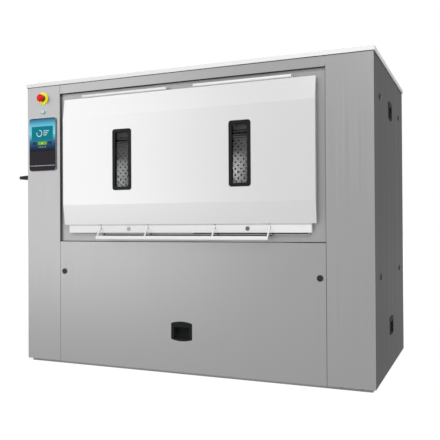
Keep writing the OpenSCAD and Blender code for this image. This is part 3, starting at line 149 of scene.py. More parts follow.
floor_finish = bpy.data.materials.new("studio_floor")
floor_finish.use_nodes = True
floor_tree = floor_finish.node_tree
floor_tree.nodes.clear()
matt = add(floor_tree, "ShaderNodeBsdfDiffuse", {"Color": colour(FLOOR_COLOUR)})
white = add(floor_tree, "ShaderNodeEmission", {"Color": (1, 1, 1, 1), "Strength": FLOOR_WHITE})
spot = add(floor_tree, "ShaderNodeTexCoord")
away = add(floor_tree, "ShaderNodeVectorMath", {0: spot.outputs["Object"]}, operation="LENGTH")
plain = add(floor_tree, "ShaderNodeMapRange", {"Value": away.outputs["Value"], "From Min": SHADOW_NEAR,
    "From Max": SHADOW_FAR, "To Min": 1 - SHADOW_KEPT, "To Max": 1.0})
lift = add(floor_tree, "ShaderNodeMath", {0: seen_by_eye(floor_tree), 1: plain.outputs["Result"]},
    operation="MULTIPLY")
mixed = add(floor_tree, "ShaderNodeMixShader",
    {0: lift.outputs[0], 1: matt.outputs["BSDF"], 2: white.outputs["Emission"]})
add(floor_tree, "ShaderNodeOutputMaterial", {"Surface": mixed.outputs["Shader"]})

floor_mesh = bpy.data.meshes.new("floor")
half = FLOOR_SIDE / 2
floor_mesh.from_pydata([(-half, -half, 0), (half, -half, 0), (half, half, 0), (-half, half, 0)], [],
    [(0, 1, 2, 3)])
floor_mesh.materials.append(floor_finish)
floor = bpy.data.objects.new("floor", floor_mesh)
bpy.context.scene.collection.objects.link(floor)

for name, at, wide, high, watts in LAMPS:
    lamp_data = bpy.data.lights.new(name, "AREA")
    lamp_data.shape = "RECTANGLE"
    lamp_data.size = wide
    lamp_data.size_y = high
    lamp_data.energy = watts
    lamp = bpy.data.objects.new(name, lamp_data)
    lamp.location = at
    lamp.rotation_euler = (Vector(LAMPS_AIM_AT) - Vector(at)).to_track_quat("-Z", "Y").to_euler()
    bpy.context.scene.collection.objects.link(lamp)

bpy.context.scene.view_settings.view_transform = "Standard"


# Base frame. Welded U channels with cross members and four anchor plates, powder coated in
# light gray. Its front edge shows as a low rail with small fixing holes under the casing.
EDGE_ANGLE = 30
NOISE_LOW = 0.3
NOISE_HIGH = 0.7


def new_finish(name, code, metallic, roughness, **constants):
    """A material with its principled shader. Constants are the shader's own sockets."""
    finish = bpy.data.materials.new(name)
    finish.use_nodes = True
    tree = finish.node_tree
    tree.nodes.clear()
    sockets = {"Base Color": colour(code), "Metallic": metallic, "Roughness": roughness}
    sockets.update({key.replace("_", " "): value for key, value in constants.items()})
    shader = add(tree, "ShaderNodeBsdfPrincipled", sockets)
    add(tree, "ShaderNodeOutputMaterial", {"Surface": shader.outputs["BSDF"]})
    return finish, tree, shader


def uneven_finish(name, code, metallic, rough, size_mm, spread, rough_spread, bump_mm=0.0,
        stretch=(1, 1, 1), **constants):
    """A material whose colour, roughness and height vary with one noise, at a real size."""
    finish, tree, shader = new_finish(name, code, metallic, rough, **constants)
    place = add(tree, "ShaderNodeTexCoord")
    scale = [1 / (size_mm * MM * s) for s in stretch]
    sized = add(tree, "ShaderNodeMapping", {"Vector": place.outputs["Object"], "Scale": scale})
    noise = add(tree, "ShaderNodeTexNoise",
        {"Vector": sized.outputs["Vector"], "Scale": 1.0, "Detail": 4.0, "Roughness": 0.6})
    share = add(tree, "ShaderNodeMapRange",
        {"Value": noise.outputs["Fac"], "From Min": NOISE_LOW, "From Max": NOISE_HIGH})
    base = colour(code)
    darker = tuple(c * (1 - spread) for c in base[:3]) + (1.0,)
    lighter = tuple(min(1.0, c * (1 + spread)) for c in base[:3]) + (1.0,)
    tone = add(tree, "ShaderNodeMixRGB",
        {"Fac": share.outputs["Result"], "Color1": darker, "Color2": lighter})
    tree.links.new(tone.outputs["Color"], shader.inputs["Base Color"])
    gloss = add(tree, "ShaderNodeMapRange", {"Value": share.outputs["Result"],
        "To Min": rough - rough_spread, "To Max": rough + rough_spread})
    tree.links.new(gloss.outputs["Result"], shader.inputs["Roughness"])
    if bump_mm:
        height = add(tree, "ShaderNodeBump",
            {"Height": noise.outputs["Fac"], "Distance": bump_mm * MM, "Strength": 1.0})
        tree.links.new(height.outputs["Normal"], shader.inputs["Normal"])
    return finish


def powder_coat(name, code, rough=0.42, peel_mm=2.5, sheen=0.5):
    """Powder coat on steel: even and satin, with the fine orange peel of the baked film."""
    return uneven_finish(name, code, 0.0, rough, peel_mm, spread=0.02, rough_spread=0.04, bump_mm=0.05,
        Specular_IOR_Level=sheen)


def put(name, bm, finish, body, stands_for=(), sharp=35):
    """Makes a piece of a mesh built in code, smooth but for its sharp edges, on its body."""
    bmesh.ops.recalc_face_normals(bm, faces=bm.faces)
    mesh = bpy.data.meshes.new(name)
    bm.to_mesh(mesh)
    bm.free()
    mesh.materials.append(finish)
    mesh.shade_smooth()
    mesh.set_sharp_from_angle(angle=math.radians(sharp))
    piece = bpy.data.objects.new(name, mesh)
    bpy.context.scene.collection.objects.link(piece)
    level = piece.modifiers.new("even_faces", "WEIGHTED_NORMAL")
    level.keep_sharp = True
    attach(piece, body)
    if stands_for:
        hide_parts(*stands_for)
    return piece


def solid_of(node):
    """The CAD solid of a node as a clean mesh, with its flat faces whole again."""
    bm = bmesh.new()
    bm.from_mesh(frame["nodes"][node].data)
    bmesh.ops.remove_doubles(bm, verts=bm.verts, dist=0.005 * MM)
    bmesh.ops.dissolve_limit(bm, angle_limit=math.radians(0.3), verts=bm.verts, edges=bm.edges)
    return bm


def round_edges(bm, radius_mm, least=EDGE_ANGLE, most=180, segments=2):
    """Rounds the edges whose faces meet at an angle between least and most degrees."""
    low, high = math.radians(least), math.radians(most)
    edges = [e for e in bm.edges if len(e.link_faces) == 2 and low < e.calc_face_angle() <= high]
    bmesh.ops.bevel(bm, geom=edges, offset=radius_mm * MM, segments=segments, profile=0.5,
        affect="EDGES", clamp_overlap=True)


def dress(node, finish, radius_mm, segments=2):
    """A node's own shape with the rounded edges that folding, casting or turning leaves."""
    bm = solid_of(node)
    if radius_mm:
        round_edges(bm, radius_mm, segments=segments)
    return put(f"{node}_formed", bm, finish, frame["nodes"][node]["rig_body"], [node])


base_gray = powder_coat("powder_coated_steel", "#a6a8a9")
dress("base_frame", base_gray, 1.2)


# Cabinet frame. Square tubes and beams of galvanised steel, hidden behind the casing. Hot
# dipped zinc shows its spangle, crystals a finger wide in slightly different grays.
ZINC = "#a9adb0"
ZINC_LIGHT = "#b6babc"
ZINC_DARK = "#969b9f"
SPANGLE_MM = 14

zinc, tree, shader = new_finish("galvanised_steel", ZINC, 0.85, 0.45)
place = add(tree, "ShaderNodeTexCoord")
crystals = add(tree, "ShaderNodeTexVoronoi",
    {"Vector": place.outputs["Object"], "Scale": 1 / (SPANGLE_MM * MM)})
tone = add(tree, "ShaderNodeMixRGB",
    {"Fac": crystals.outputs["Distance"], "Color1": colour(ZINC_LIGHT), "Color2": colour(ZINC_DARK)})
tree.links.new(tone.outputs["Color"], shader.inputs["Base Color"])
gloss = add(tree, "ShaderNodeMapRange",
    {"Value": crystals.outputs["Distance"], "To Min": 0.38, "To Max": 0.52})
tree.links.new(gloss.outputs["Result"], shader.inputs["Roughness"])
dress("cabinet_frame", zinc, 1.5)


# Tub stand. Four legs, beams and two saddles welded of steel tube and plate, coated like the
# base frame that it stands on. It carries the tub, and the motor hangs under it on a plate.
dress("tub_stand", base_gray, 1.2)


# Tub. A rolled stainless shell with the ducts of its two mouths, and end plates with radial
# ribs. The sheet keeps its dull mill finish, and the seams stay as low weld beads.
BEAD_MM = 3.0
AXIS_X = Matrix.Rotation(math.radians(90), 4, "Y")


def grained_steel(name, code, grain_mm, run_mm, along="Z", rough=0.36, contrast=0.035, metallic=1.0):
    """Stainless sheet ground in one direction: long fine streaks that dull it unevenly."""
    stretch = [run_mm / grain_mm if axis == along else 1.0 for axis in "XYZ"]
    return uneven_finish(name, code, metallic, rough, grain_mm, contrast, rough_spread=0.05,
        bump_mm=0.04, stretch=stretch)


def lathe(bm, place, profile, steps=48):
    """Turns a profile of (radius, height) pairs about the place's upright axis."""
    rings = []
    for r, h in profile:
        if r < 1e-9:
            rings.append([bm.verts.new(place @ Vector((0, 0, h)))])
            continue
        turn = [2 * math.pi * i / steps for i in range(steps)]
        rings.append([bm.verts.new(place @ Vector((r * math.cos(t), r * math.sin(t), h))) for t in turn])
    for lower, upper in zip(rings, rings[1:]):
        for i in range(steps):
            j = (i + 1) % steps
            corners = [lower[i % len(lower)], lower[j % len(lower)], upper[j % len(upper)],
                upper[i % len(upper)]]
            unique = [c for n, c in enumerate(corners) if c not in corners[:n]]
            if len(unique) > 2:
                bm.faces.new(unique)


def ring_profile(r, h, width, steps=10):
    """The closed round section of a bead or ring, as a profile for the lathe."""
    turn = [2 * math.pi * i / steps for i in range(steps + 1)]
    return [(r + width / 2 * math.cos(t), h + width / 2 * math.sin(t)) for t in turn]


tub_steel = grained_steel("mill_finish_stainless", "#b4b6b8", 3.0, 60, along="X", rough=0.42)
dress("tub_shell", tub_steel, 0.0)
dress("tub_end_plates", tub_steel, 1.0)
shell_low, shell_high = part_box("tub_shell")
drum_low, drum_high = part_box("drum_bulkheads")
axis_z = (drum_low.z + drum_high.z) / 2
tub_r = (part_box("tub_end_plates")[1].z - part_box("tub_end_plates")[0].z) / 2
bm = bmesh.new()
for x in (shell_low.x, shell_high.x):
    lathe(bm, Matrix.Translation((x, 0, axis_z)) @ AXIS_X,
        ring_profile(tub_r + BEAD_MM * MM / 4, 0, BEAD_MM * MM), steps=96)
put("tub_weld_beads", bm, tub_steel, "cabinet")


# Drum. Perforated stainless sheet, rolled and pickled to an even pale gray, with no edge that
# could catch the laundry. Its holes lie in staggered rows, and are drawn larger than real ones,
# so that they show. The shafts are drawn slightly slimmer than their seals and bearings.
DRUM_SHEET = 4 * MM
SHELL_PITCH = 44 * MM
SHELL_HOLE = 7 * MM
SHELL_BORDER = SHELL_PITCH * 0.6
LEAF_LAP = 12 * MM
OPEN_HALF_H = 173 * MM
END_GAP = 6 * MM
SHAFT_R = 45 * MM
SHAFT_EASE = 0.006

drum_steel = grained_steel("pickled_stainless", "#f4f5f5", 2.0, 40, along="X", rough=0.45,
    contrast=0.02, metallic=0.06)


def on_cylinder(r, x, arc):
    """A point on the drum, from its place along the axis and along the arc from the front."""
    a = arc / r
    return Vector((x, -r * math.cos(a), axis_z + r * math.sin(a)))


def perforate(bm, r, x, arc, pitch, hole, border, squeeze=1.0, top_border=None):
    """Sheet on a cylinder with staggered holes, made of hexagons that share their corners."""
    side = pitch / math.sqrt(3)
    row = pitch * math.sqrt(3) / 2 * squeeze
    top = arc[1] - (top_border or border)
    turns = [math.radians(30 * k) for k in range(12)]
    found = {}

    def vertex(px, pa):
        px = min(max(px, x[0]), x[1])
        pa = min(max(pa, arc[0]), arc[1])
        key = (round(px * 1e5), round(pa * 1e5))
        if key not in found:
            found[key] = bm.verts.new(on_cylinder(r, px, pa))
        return found[key]

    def face(corners):
        unique = [c for n, c in enumerate(corners) if c not in corners[:n]]
        if len(unique) > 2 and not bm.faces.get(unique):
            bm.faces.new(unique)

    columns = math.ceil((x[1] - x[0]) / pitch) + 1
    rows = math.ceil((arc[1] - arc[0]) / row) + 1
    x_first = (x[0] + x[1]) / 2 - (columns - 1) * pitch / 2
    a_first = (arc[0] + arc[1]) / 2 - (rows - 1) * row / 2
    for m in range(-1, rows + 1):
        for n in range(-1, columns + 1):
            cx = x_first + (n + 0.5 * (m % 2)) * pitch
            ca = a_first + m * row
            if not (x[0] - side < cx < x[1] + side and arc[0] - side < ca < arc[1] + side):
                continue
            rim = [vertex(cx + reach * math.cos(t), ca + squeeze * reach * math.sin(t))
                for t, reach in zip(turns, (pitch / 2, side) * 6)]
            inside = x[0] + border < cx < x[1] - border and arc[0] + border < ca < top
            if not inside:
                face(rim)
                continue
            edge = [vertex(cx + hole * math.cos(t), ca + hole * math.sin(t)) for t in turns]
            for k in range(12):
                face([rim[k], rim[(k + 1) % 12], edge[(k + 1) % 12], edge[k]])


def thicken(piece, depth):
    """Gives sheet its thickness towards the inside, under the even shading."""
    wall = piece.modifiers.new("sheet", "SOLIDIFY")
    wall.thickness = depth
    wall.offset = -1.0
    while piece.modifiers[0] != wall:
        bpy.context.view_layer.objects.active = piece
        bpy.ops.object.modifier_move_up(modifier="sheet")


drum_r = (drum_high.z - drum_low.z) / 2
leaf_low, leaf_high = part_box("drum_door_right")
open_x = (leaf_low.x + LEAF_LAP, leaf_high.x - LEAF_LAP)
open_arc = drum_r * math.asin(OPEN_HALF_H / drum_r)
ends_x = drum_high.x - END_GAP
bm = bmesh.new()
perforate(bm, drum_r, (-ends_x, ends_x), (open_arc, 2 * math.pi * drum_r - open_arc), SHELL_PITCH,
    SHELL_HOLE, SHELL_BORDER)
for x in ((-ends_x, -open_x[1]), (-open_x[0], open_x[0]), (open_x[1], ends_x)):
    perforate(bm, drum_r, x, (-open_arc, open_arc), SHELL_PITCH, SHELL_HOLE, SHELL_PITCH)
shell = put("drum_shell_perforated", bm, drum_steel, "drum", ["drum_shell"])
thicken(shell, DRUM_SHEET)
dress("drum_bulkheads", drum_steel, 0.0)
dress("drum_lifters", drum_steel, 10.0, segments=4)
bm = solid_of("drum_shafts")
for corner in bm.verts:
    r = math.hypot(corner.co.y, corner.co.z - axis_z)
    if abs(r - SHAFT_R) < 1 * MM:
        corner.co.y *= 1 - SHAFT_EASE
        corner.co.z = axis_z + (corner.co.z - axis_z) * (1 - SHAFT_EASE)
round_edges(bm, 1.5)
put("drum_shafts_turned", bm, drum_steel, "drum", ["drum_shafts"])


# Drum doors. Each is a curved leaf of the same sheet with finer holes. It hangs on a pin along
# its upper edge and swings into the drum, and two pressed latch pads hold it behind the opening.
# Polished beads stiffen its plain upper band, and a dark rubber strip lies between them.
LEAF_R = 390.7 * MM
LEAF_HALF_H = 185 * MM
LEAF_PITCH = 30 * MM
LEAF_HOLE = 4.8 * MM
LEAF_SQUEEZE = 0.62
LEAF_BORDER = 26 * MM
PLAIN_BAND = 72 * MM
# Lower and upper edge above the floor, and how far proud, in mm
BEADS = ((1222, 1229, 3.4), (1195, 1200, 2.6), (1184, 1187, 2.0))
STRIP = (1203, 1219, 0.8)
BEAD_IN = 20 * MM
BEAD_SUNK_MM = 0.5
BEAD_STEPS = 8
PIN_AXIS_R = 383.7 * MM
PIN_ABOVE = math.radians(1)
BARREL_R = 6.7 * MM
BARREL_IN = 60 * MM
PIN_R = 3.5 * MM
PIN_IN = 12 * MM
PIN_CHAMFER = 1 * MM
PAD_W = 60 * MM
PAD_H = 20 * MM
PAD_DEPTH = 22 * MM
PAD_SUNK = 2 * MM
PAD_EDGE_R = 4 * MM
PAD_DROP = 155 * MM
PAD_SHARES = (0.3, 0.7)


def box_between(bm, low, high):
    """A box between two corners, and its new points."""
    corners = [bm.verts.new((x, y, z)) for x in (low[0], high[0]) for y in (low[1], high[1])
        for z in (low[2], high[2])]
    for face in ((0, 1, 3, 2), (4, 6, 7, 5), (0, 4, 5, 1), (2, 3, 7, 6), (0, 2, 6, 4), (1, 5, 7, 3)):
        bm.faces.new([corners[i] for i in face])
    return corners


def rounded_box(bm, low, high, radius, segments=3):
    """A box between two corners with all its edges rounded."""
    corners = set(box_between(bm, low, high))
    edges = [e for e in bm.edges if set(e.verts) <= corners]
    bmesh.ops.bevel(bm, geom=edges, offset=radius, segments=segments, profile=0.5, affect="EDGES",
        clamp_overlap=True)


def rod(bm, start, end, r, chamfer=0.0, steps=32):
    """A round bar between two points, with chamfered ends."""
    start, end = Vector(start), Vector(end)
    length = (end - start).length
    place = Matrix.Translation(start) @ (end - start).to_track_quat("Z", "Y").to_matrix().to_4x4()
    c = max(chamfer, 1e-6)
    lathe(bm, place, [(0, 0), (r - c, 0), (r, c), (r, length - c), (r - c, length), (0, length)], steps)


def join_rings(bm, rings):
    """Faces between each ring of points and the next one."""
    for here, there in zip(rings, rings[1:]):
        for i in range(len(here)):
            j = (i + 1) % len(here)
            bm.faces.new((here[i], here[j], there[j], there[i]))


def bar_on_leaf(bm, x, z0_mm, z1_mm, proud_mm):
    """A low round bar along the leaf's outer face, between two heights above the floor."""
    a0, a1 = (math.asin((z * MM - axis_z) / LEAF_R) * LEAF_R for z in (z0_mm, z1_mm))
    turns = [math.pi * i / BEAD_STEPS for i in range(BEAD_STEPS + 1)]
    outline = [(LEAF_R + (proud_mm * math.sin(t) - BEAD_SUNK_MM) * MM,
        (a0 + a1 - (a1 - a0) * math.cos(t)) / 2) for t in turns]
    rings = [[bm.verts.new(on_cylinder(r, px, a * r / LEAF_R)) for r, a in outline] for px in x]
    bm.faces.new(rings[0])
    bm.faces.new(rings[1])
    join_rings(bm, rings)


rubber = uneven_finish("moulded_rubber", "#1d1d1e", 0.0, 0.68, 4.0, 0.1, 0.06, bump_mm=0.08)
polished_steel = grained_steel("polished_stainless", "#d4d6d8", 2.0, 40, along="X", rough=0.13,
    contrast=0.02)
leaf_turn = math.asin(LEAF_HALF_H / LEAF_R)
leaf_arc = LEAF_R * leaf_turn
pin_y = -PIN_AXIS_R * math.cos(leaf_turn + PIN_ABOVE)
pin_z = axis_z + PIN_AXIS_R * math.sin(leaf_turn + PIN_ABOVE)
pad_y = -math.sqrt(LEAF_R ** 2 - PAD_DROP ** 2)
for side, way in (("left", -1), ("right", 1)):
    node = f"drum_door_{side}"
    low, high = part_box(node)
    bm = bmesh.new()
    perforate(bm, LEAF_R, (low.x, high.x), (-leaf_arc, leaf_arc), LEAF_PITCH, LEAF_HOLE, LEAF_BORDER,
        LEAF_SQUEEZE, PLAIN_BAND)
    leaf = put(f"{node}_leaf", bm, drum_steel, node, [node])
    thicken(leaf, DRUM_SHEET)
    bm = bmesh.new()
    for r, end_in in ((BARREL_R, BARREL_IN), (PIN_R, PIN_IN)):
        rod(bm, (low.x + end_in, pin_y, pin_z), (high.x - end_in, pin_y, pin_z), r, PIN_CHAMFER)
    for share in PAD_SHARES:
        middle = low.x + (high.x - low.x) * share
        rounded_box(bm, (middle - PAD_W / 2, pad_y - PAD_SUNK, axis_z - PAD_DROP - PAD_H / 2),
            (middle + PAD_W / 2, pad_y + PAD_DEPTH - PAD_SUNK, axis_z - PAD_DROP + PAD_H / 2), PAD_EDGE_R)
    put(f"{node}_barrel_and_latches", bm, drum_steel, node)
    bead_x = sorted((way * (open_x[0] + BEAD_IN), way * (open_x[1] - BEAD_IN)))
    bm = bmesh.new()
    for bead in BEADS:
        bar_on_leaf(bm, bead_x, *bead)
    put(f"{node}_beads", bm, polished_steel, node)
    bm = bmesh.new()
    bar_on_leaf(bm, bead_x, *STRIP)
    put(f"{node}_strip", bm, rubber, node)


# Bearings. Gray iron housings are bolted to the end plates with eight hexagon screws each, and
# hold the outer rings of the two shaft bearings. Cast iron keeps the grain of its sand mould.
# The end plates lie in line with the edges of the door surrounds.
BOLT_R = 10 * MM
BOLT_H = 8 * MM
BOLT_COUNT = 8
BOLT_IN = 15 * MM
FLANGE_T = 14 * MM

iron = uneven_finish("sand_cast_iron", "#6d7275", 0.2, 0.6, 3.5, 0.06, 0.08, bump_mm=0.25)
bright_steel = grained_steel("turned_steel", "#b9bbbd", 1.5, 3, rough=0.3, contrast=0.02)


def facing(side, at):
    """A place whose third axis points out of one side of the machine, with its second axis up."""
    across, upward, out = {
        "front": ((1, 0, 0), (0, 0, 1), (0, -1, 0)),
        "rear": ((-1, 0, 0), (0, 0, 1), (0, 1, 0)),
        "right": ((0, 1, 0), (0, 0, 1), (1, 0, 0)),
        "left": ((0, -1, 0), (0, 0, 1), (-1, 0, 0)),
        "top": ((1, 0, 0), (0, 1, 0), (0, 0, 1)),
    }[side]
    return Matrix.Translation(at) @ Matrix((across, upward, out)).transposed().to_4x4()


def hex_head(bm, place, r, h):
    """A hexagon head with the chamfered corners of a forged screw."""
    lathe(bm, place, [(0, 0), (r, 0), (r, h * 0.8), (r * 0.86, h), (0, h)], steps=6)


dress("bearing_housings", iron, 1.5)
dress("shaft_bearings", bright_steel, 1.0)
housing_low, housing_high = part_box("bearing_housings")
end_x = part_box("door_surrounds")[1].x
bolt_circle = (housing_high.z - housing_low.z) / 2 - BOLT_IN
bm = bmesh.new()
for side, x in (("right", end_x + FLANGE_T), ("left", -end_x - FLANGE_T)):
    for i in range(BOLT_COUNT):
        turn = 2 * math.pi * (i + 0.5) / BOLT_COUNT
        at = (x, bolt_circle * math.cos(turn), axis_z + bolt_circle * math.sin(turn))
        hex_head(bm, facing(side, at), BOLT_R, BOLT_H)
put("bearing_housing_screws", bm, bright_steel, "cabinet")


# Motor. A finned cast housing, painted blue-gray by spray, with a terminal box on its front.
# Its pulley and the large one on the drum are turned from gray iron.
motor_paint = powder_coat("sprayed_enamel", "#3c566e", rough=0.38, peel_mm=3.0)
dress("motor", motor_paint, 0.8)
pulley_iron = uneven_finish("turned_iron", "#4b4f52", 0.75, 0.42, 2.0, 0.05, 0.06, bump_mm=0.05)
dress("drum_pulley", pulley_iron, 0.0)
dress("motor_pulley", pulley_iron, 0.0)


# Drive belts. Four V belts of black rubber, moulded on cord. They run round both pulleys and
# are drawn here as smooth loops, narrower inside than outside so that they seat in the grooves.
BELT_COUNT = 4
BELT_W = 9 * MM
BELT_T = 7 * MM
BELT_SEAT = 0.6 * MM
BELT_FOOT = 0.64
BELT_STEPS = 48
GROOVE_R_LESS = 3 * MM
RIM_PITCHES = 0.25

pulley_low, pulley_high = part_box("drum_pulley")
motor_low, motor_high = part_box("motor_pulley")
big_r = (pulley_high.z - pulley_low.z) / 2 - GROOVE_R_LESS
small_r = (motor_high.z - motor_low.z) / 2 - GROOVE_R_LESS
motor_z = (motor_high.z + motor_low.z) / 2
wrap = math.acos((big_r - small_r) / (axis_z - motor_z))
loop = []
for z, r, start, end, steps in ((axis_z, big_r, wrap, 2 * math.pi - wrap, BELT_STEPS),
        (motor_z, small_r, -wrap, wrap, BELT_STEPS // 2)):
    loop += [(z, r, start + i / steps * (end - start)) for i in range(steps + 1)]
section = [(side * BELT_W / 2, out) for side, out in ((-BELT_FOOT, BELT_SEAT), (-1, BELT_T),
    (1, BELT_T), (BELT_FOOT, BELT_SEAT))]
pitch = (pulley_high.x - pulley_low.x) / (BELT_COUNT + 2 * RIM_PITCHES)
bm = bmesh.new()
for n in range(BELT_COUNT):
    x = pulley_low.x + pitch * (n + 0.5 + RIM_PITCHES)
    rings = [[bm.verts.new((x + across, (r + out) * math.sin(turn), z - (r + out) * math.cos(turn)))
        for across, out in section] for z, r, turn in loop]
    join_rings(bm, rings + rings[:1])
put("drive_belt_loops", bm, rubber, "cabinet", ["drive_belts"])


# Drain and water. A moulded gray drain valve and pipe hang under the tub. Three brass inlets
# with pipe threads stand on the cover at the rear left, and beside them the cable gland.
INLET_COUNT = 3
NUT_R = 25.2 * MM
NUT_H = 6 * MM
THREAD_R = 13.2 * MM
THREAD_L = 22 * MM
THREAD_PITCH = 2.3 * MM
THREAD_DEPTH = 0.84 * MM
THREAD_START = 1 * MM
THREAD_FOOT_R = THREAD_R - 0.02 * MM


def moulded(name, code, rough=0.45, sheen=0.5, grain_mm=1.6):
    """Moulded plastic: an even colour with the fine spark texture of its steel mould."""
    return uneven_finish(name, code, 0.0, rough, grain_mm, spread=0.03, rough_spread=0.05, bump_mm=0.06,
        Specular_IOR_Level=sheen)


drain_plastic = moulded("moulded_gray_polypropylene", "#6d7074")
dress("drain_valve", drain_plastic, 3.0)
dress("drain_outlet", drain_plastic, 1.0)
brass = uneven_finish("turned_brass", "#c9a45c", 1.0, 0.28, 2.0, 0.04, 0.06, bump_mm=0.03)
inlet_low, inlet_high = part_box("water_inlets")
cover_low, cover_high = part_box("top_cover")
dress("water_inlets", brass, 0.8)
inlet_y = inlet_high.y - NUT_R
inlet_pitch = (inlet_high.x - inlet_low.x - 2 * NUT_R) / (INLET_COUNT - 1)
thread = []
for i in range(int(THREAD_L / THREAD_PITCH)):
    h = i * THREAD_PITCH + THREAD_START
    thread += [(THREAD_FOOT_R, h), (THREAD_R + THREAD_DEPTH, h + THREAD_PITCH * 0.35),
        (THREAD_FOOT_R, h + THREAD_PITCH * 0.7)]
bm = bmesh.new()
for n in range(INLET_COUNT):
    x = inlet_low.x + NUT_R + n * inlet_pitch
    lathe(bm, facing("top", (x, inlet_y, cover_high.z + NUT_H)), thread, steps=40)
    hex_head(bm, facing("top", (x, inlet_y, cover_high.z + NUT_H * 0.98)), NUT_R * 0.8, NUT_H * 0.5)
put("water_inlet_threads", bm, brass, "cabinet")
black_plastic = moulded("moulded_black_polyamide", "#232425", rough=0.42)
dress("power_gland", black_plastic, 0.8)


# Control box. Folded steel with a lid on hinges, hung behind the left column and coated in
# light gray. Two quarter-turn catches hold its lid.
CATCH_R = 9 * MM
CATCH_H = 3 * MM
CATCH_IN = 45 * MM
CATCH_SHARES = (0.15, 0.85)

light_coat = powder_coat("light_gray_powder_coat", "#c4c6c7")
dress("control_cabinet", light_coat, 2.0)
box_low, box_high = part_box("control_cabinet")
bm = bmesh.new()
for share in CATCH_SHARES:
    at = (box_high.x, box_low.y + CATCH_IN, box_low.z + (box_high.z - box_low.z) * share)
    lathe(bm, facing("right", at), [(0, 0), (CATCH_R, 0), (CATCH_R, CATCH_H - 1 * MM),
        (CATCH_R * 0.8, CATCH_H), (CATCH_R * 0.3, CATCH_H), (CATCH_R * 0.3, 1 * MM), (0, 1 * MM)], steps=32)
put("control_box_catches", bm, bright_steel, "cabinet")


# Door surrounds. Folded stainless plates round the mouths, set back from the casing, with round
# lock pegs. A coated drip rail runs under the door, with four rubber buffers against the arms of
# the pull bar and a dark rubber strip under its middle. A dark rubber lip along the top of the
# rail over most of its right half is painted shade. So is the black rubber strip that edges the
# casing's opening, which stands for the shadow in its recess.
STRIP_T = 0.8 * MM
STRIP_BACK = 1 * MM
STRIP_DEEP = 2 * MM
BUFFER_R = 3.6 * MM
BUFFER_H = 2.6 * MM
BUFFER_IN = 12 * MM
ARMS = tuple(s * a * MM for a in (186, 467) for s in (-1, 1))
RAIL_HALF = 654 * MM
RAIL_Z0 = 699 * MM
RAIL_Z1 = 705 * MM
RAIL_OUT = 7 * MM
RAIL_COAT = 0.4 * MM
RAIL_EDGE_R = 0.8 * MM
SURROUND_BACK = 15 * MM
UNDER_RAIL = 4.5 * MM
UNDER_SHARE = 0.72
LIP_H = 3.4 * MM
LIP_LAP = 2 * MM
LIP_SHARES = (0.1, 0.99)

surround_steel = grained_steel("ground_stainless", "#919191", 4.0, 300, rough=0.38, metallic=0.5)
dress("door_surrounds", surround_steel, 1.0)
dress("tub_seals", rubber, 0.6)
panel_y = -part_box("right_column_panel")[0].y
opening_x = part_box("right_column_panel")[0].x
opening_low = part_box("lower_service_panel")[1].z
opening_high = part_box("top_fascia")[0].z
plate_y = panel_y - SURROUND_BACK
# The black strips round the opening are painted shade, for the shadow in the recess.
bm = bmesh.new()
for way in (-1, 1):
    y = sorted((way * (panel_y - STRIP_BACK), way * (panel_y - STRIP_BACK - STRIP_DEEP)))
    for x in (-1, 1):
        xs = sorted((x * opening_x, x * (opening_x - STRIP_T)))
        box_between(bm, (xs[0], y[0], opening_low), (xs[1], y[1], opening_high))
    box_between(bm, (-opening_x, y[0], opening_high - STRIP_T), (opening_x, y[1], opening_high))
put("casing_edge_shade_strips", bm, rubber, "cabinet")
bm = bmesh.new()
for way in (-1, 1):
    for x in ARMS:
        at = (x - way * BUFFER_IN, way * (plate_y + RAIL_OUT), (RAIL_Z0 + RAIL_Z1) / 2)
        lathe(bm, facing("front" if way < 0 else "rear", at), [(BUFFER_R, 0), (BUFFER_R, 1.5 * MM),
            (BUFFER_R * 0.7, BUFFER_H - 0.2 * MM), (0, BUFFER_H)], steps=20)
    y = sorted((way * (plate_y + RAIL_OUT), way * plate_y))
    under = RAIL_HALF * UNDER_SHARE
    box_between(bm, (-under, y[0], RAIL_Z0 - UNDER_RAIL), (under, y[1], RAIL_Z0))
    # The dark rubber lip over the rail's right half is painted shade.
    xs = sorted(-way * RAIL_HALF * share for share in LIP_SHARES)
    y = sorted((way * (plate_y + RAIL_OUT + 2 * RAIL_COAT), way * plate_y))
    box_between(bm, (xs[0], y[0], RAIL_Z1 - LIP_LAP), (xs[1], y[1], RAIL_Z1 + LIP_H))
put("pull_bar_buffers", bm, rubber, "cabinet")
rail_coat = powder_coat("mid_gray_stoved_enamel", "#a9aaab", rough=0.34)
bm = bmesh.new()
for way in (-1, 1):
    y = sorted((way * (plate_y + RAIL_OUT + RAIL_COAT), way * (plate_y - RAIL_COAT)))
    rounded_box(bm, (-RAIL_HALF - RAIL_COAT, y[0], RAIL_Z0 - RAIL_COAT),
        (RAIL_HALF + RAIL_COAT, y[1], RAIL_Z1 + RAIL_COAT), RAIL_EDGE_R)
put("drip_rails", bm, rail_coat, "cabinet")


# Doors. A folded outer skin with three facets over a box-shaped inner frame. The skin is enamelled
# in pale silver, whose fine metal flake lets the lamps show as soft broad lights. The frame, the
# pull bar and the hinges are stoved in plain white. The rear leaf is one folded piece.
FOLD_MM = 14
FOLD_ANGLE = 4

frame_white = powder_coat("white_stoved_enamel", "#d2d2d2", rough=0.34, peel_mm=6.0)
door_silver = uneven_finish("pale_silver_enamel", "#c1c1c1", 0.62, 0.36, 6.0, 0.01, 0.02, bump_mm=0.05)


def dress_folded(node, finish, radius_mm):
    """A sheet with soft bends between its facets and tight folds at its edges."""
    bm = solid_of(node)
    round_edges(bm, FOLD_MM, least=FOLD_ANGLE, most=EDGE_ANGLE, segments=4)
    round_edges(bm, radius_mm, segments=3)
    return put(f"{node}_formed", bm, finish, frame["nodes"][node]["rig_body"], [node])


dress_folded("front_door_skin", door_silver, 1.6)
dress("front_door_frame", frame_white, 0.8)
dress_folded("rear_door_leaf", door_silver, 0.8)
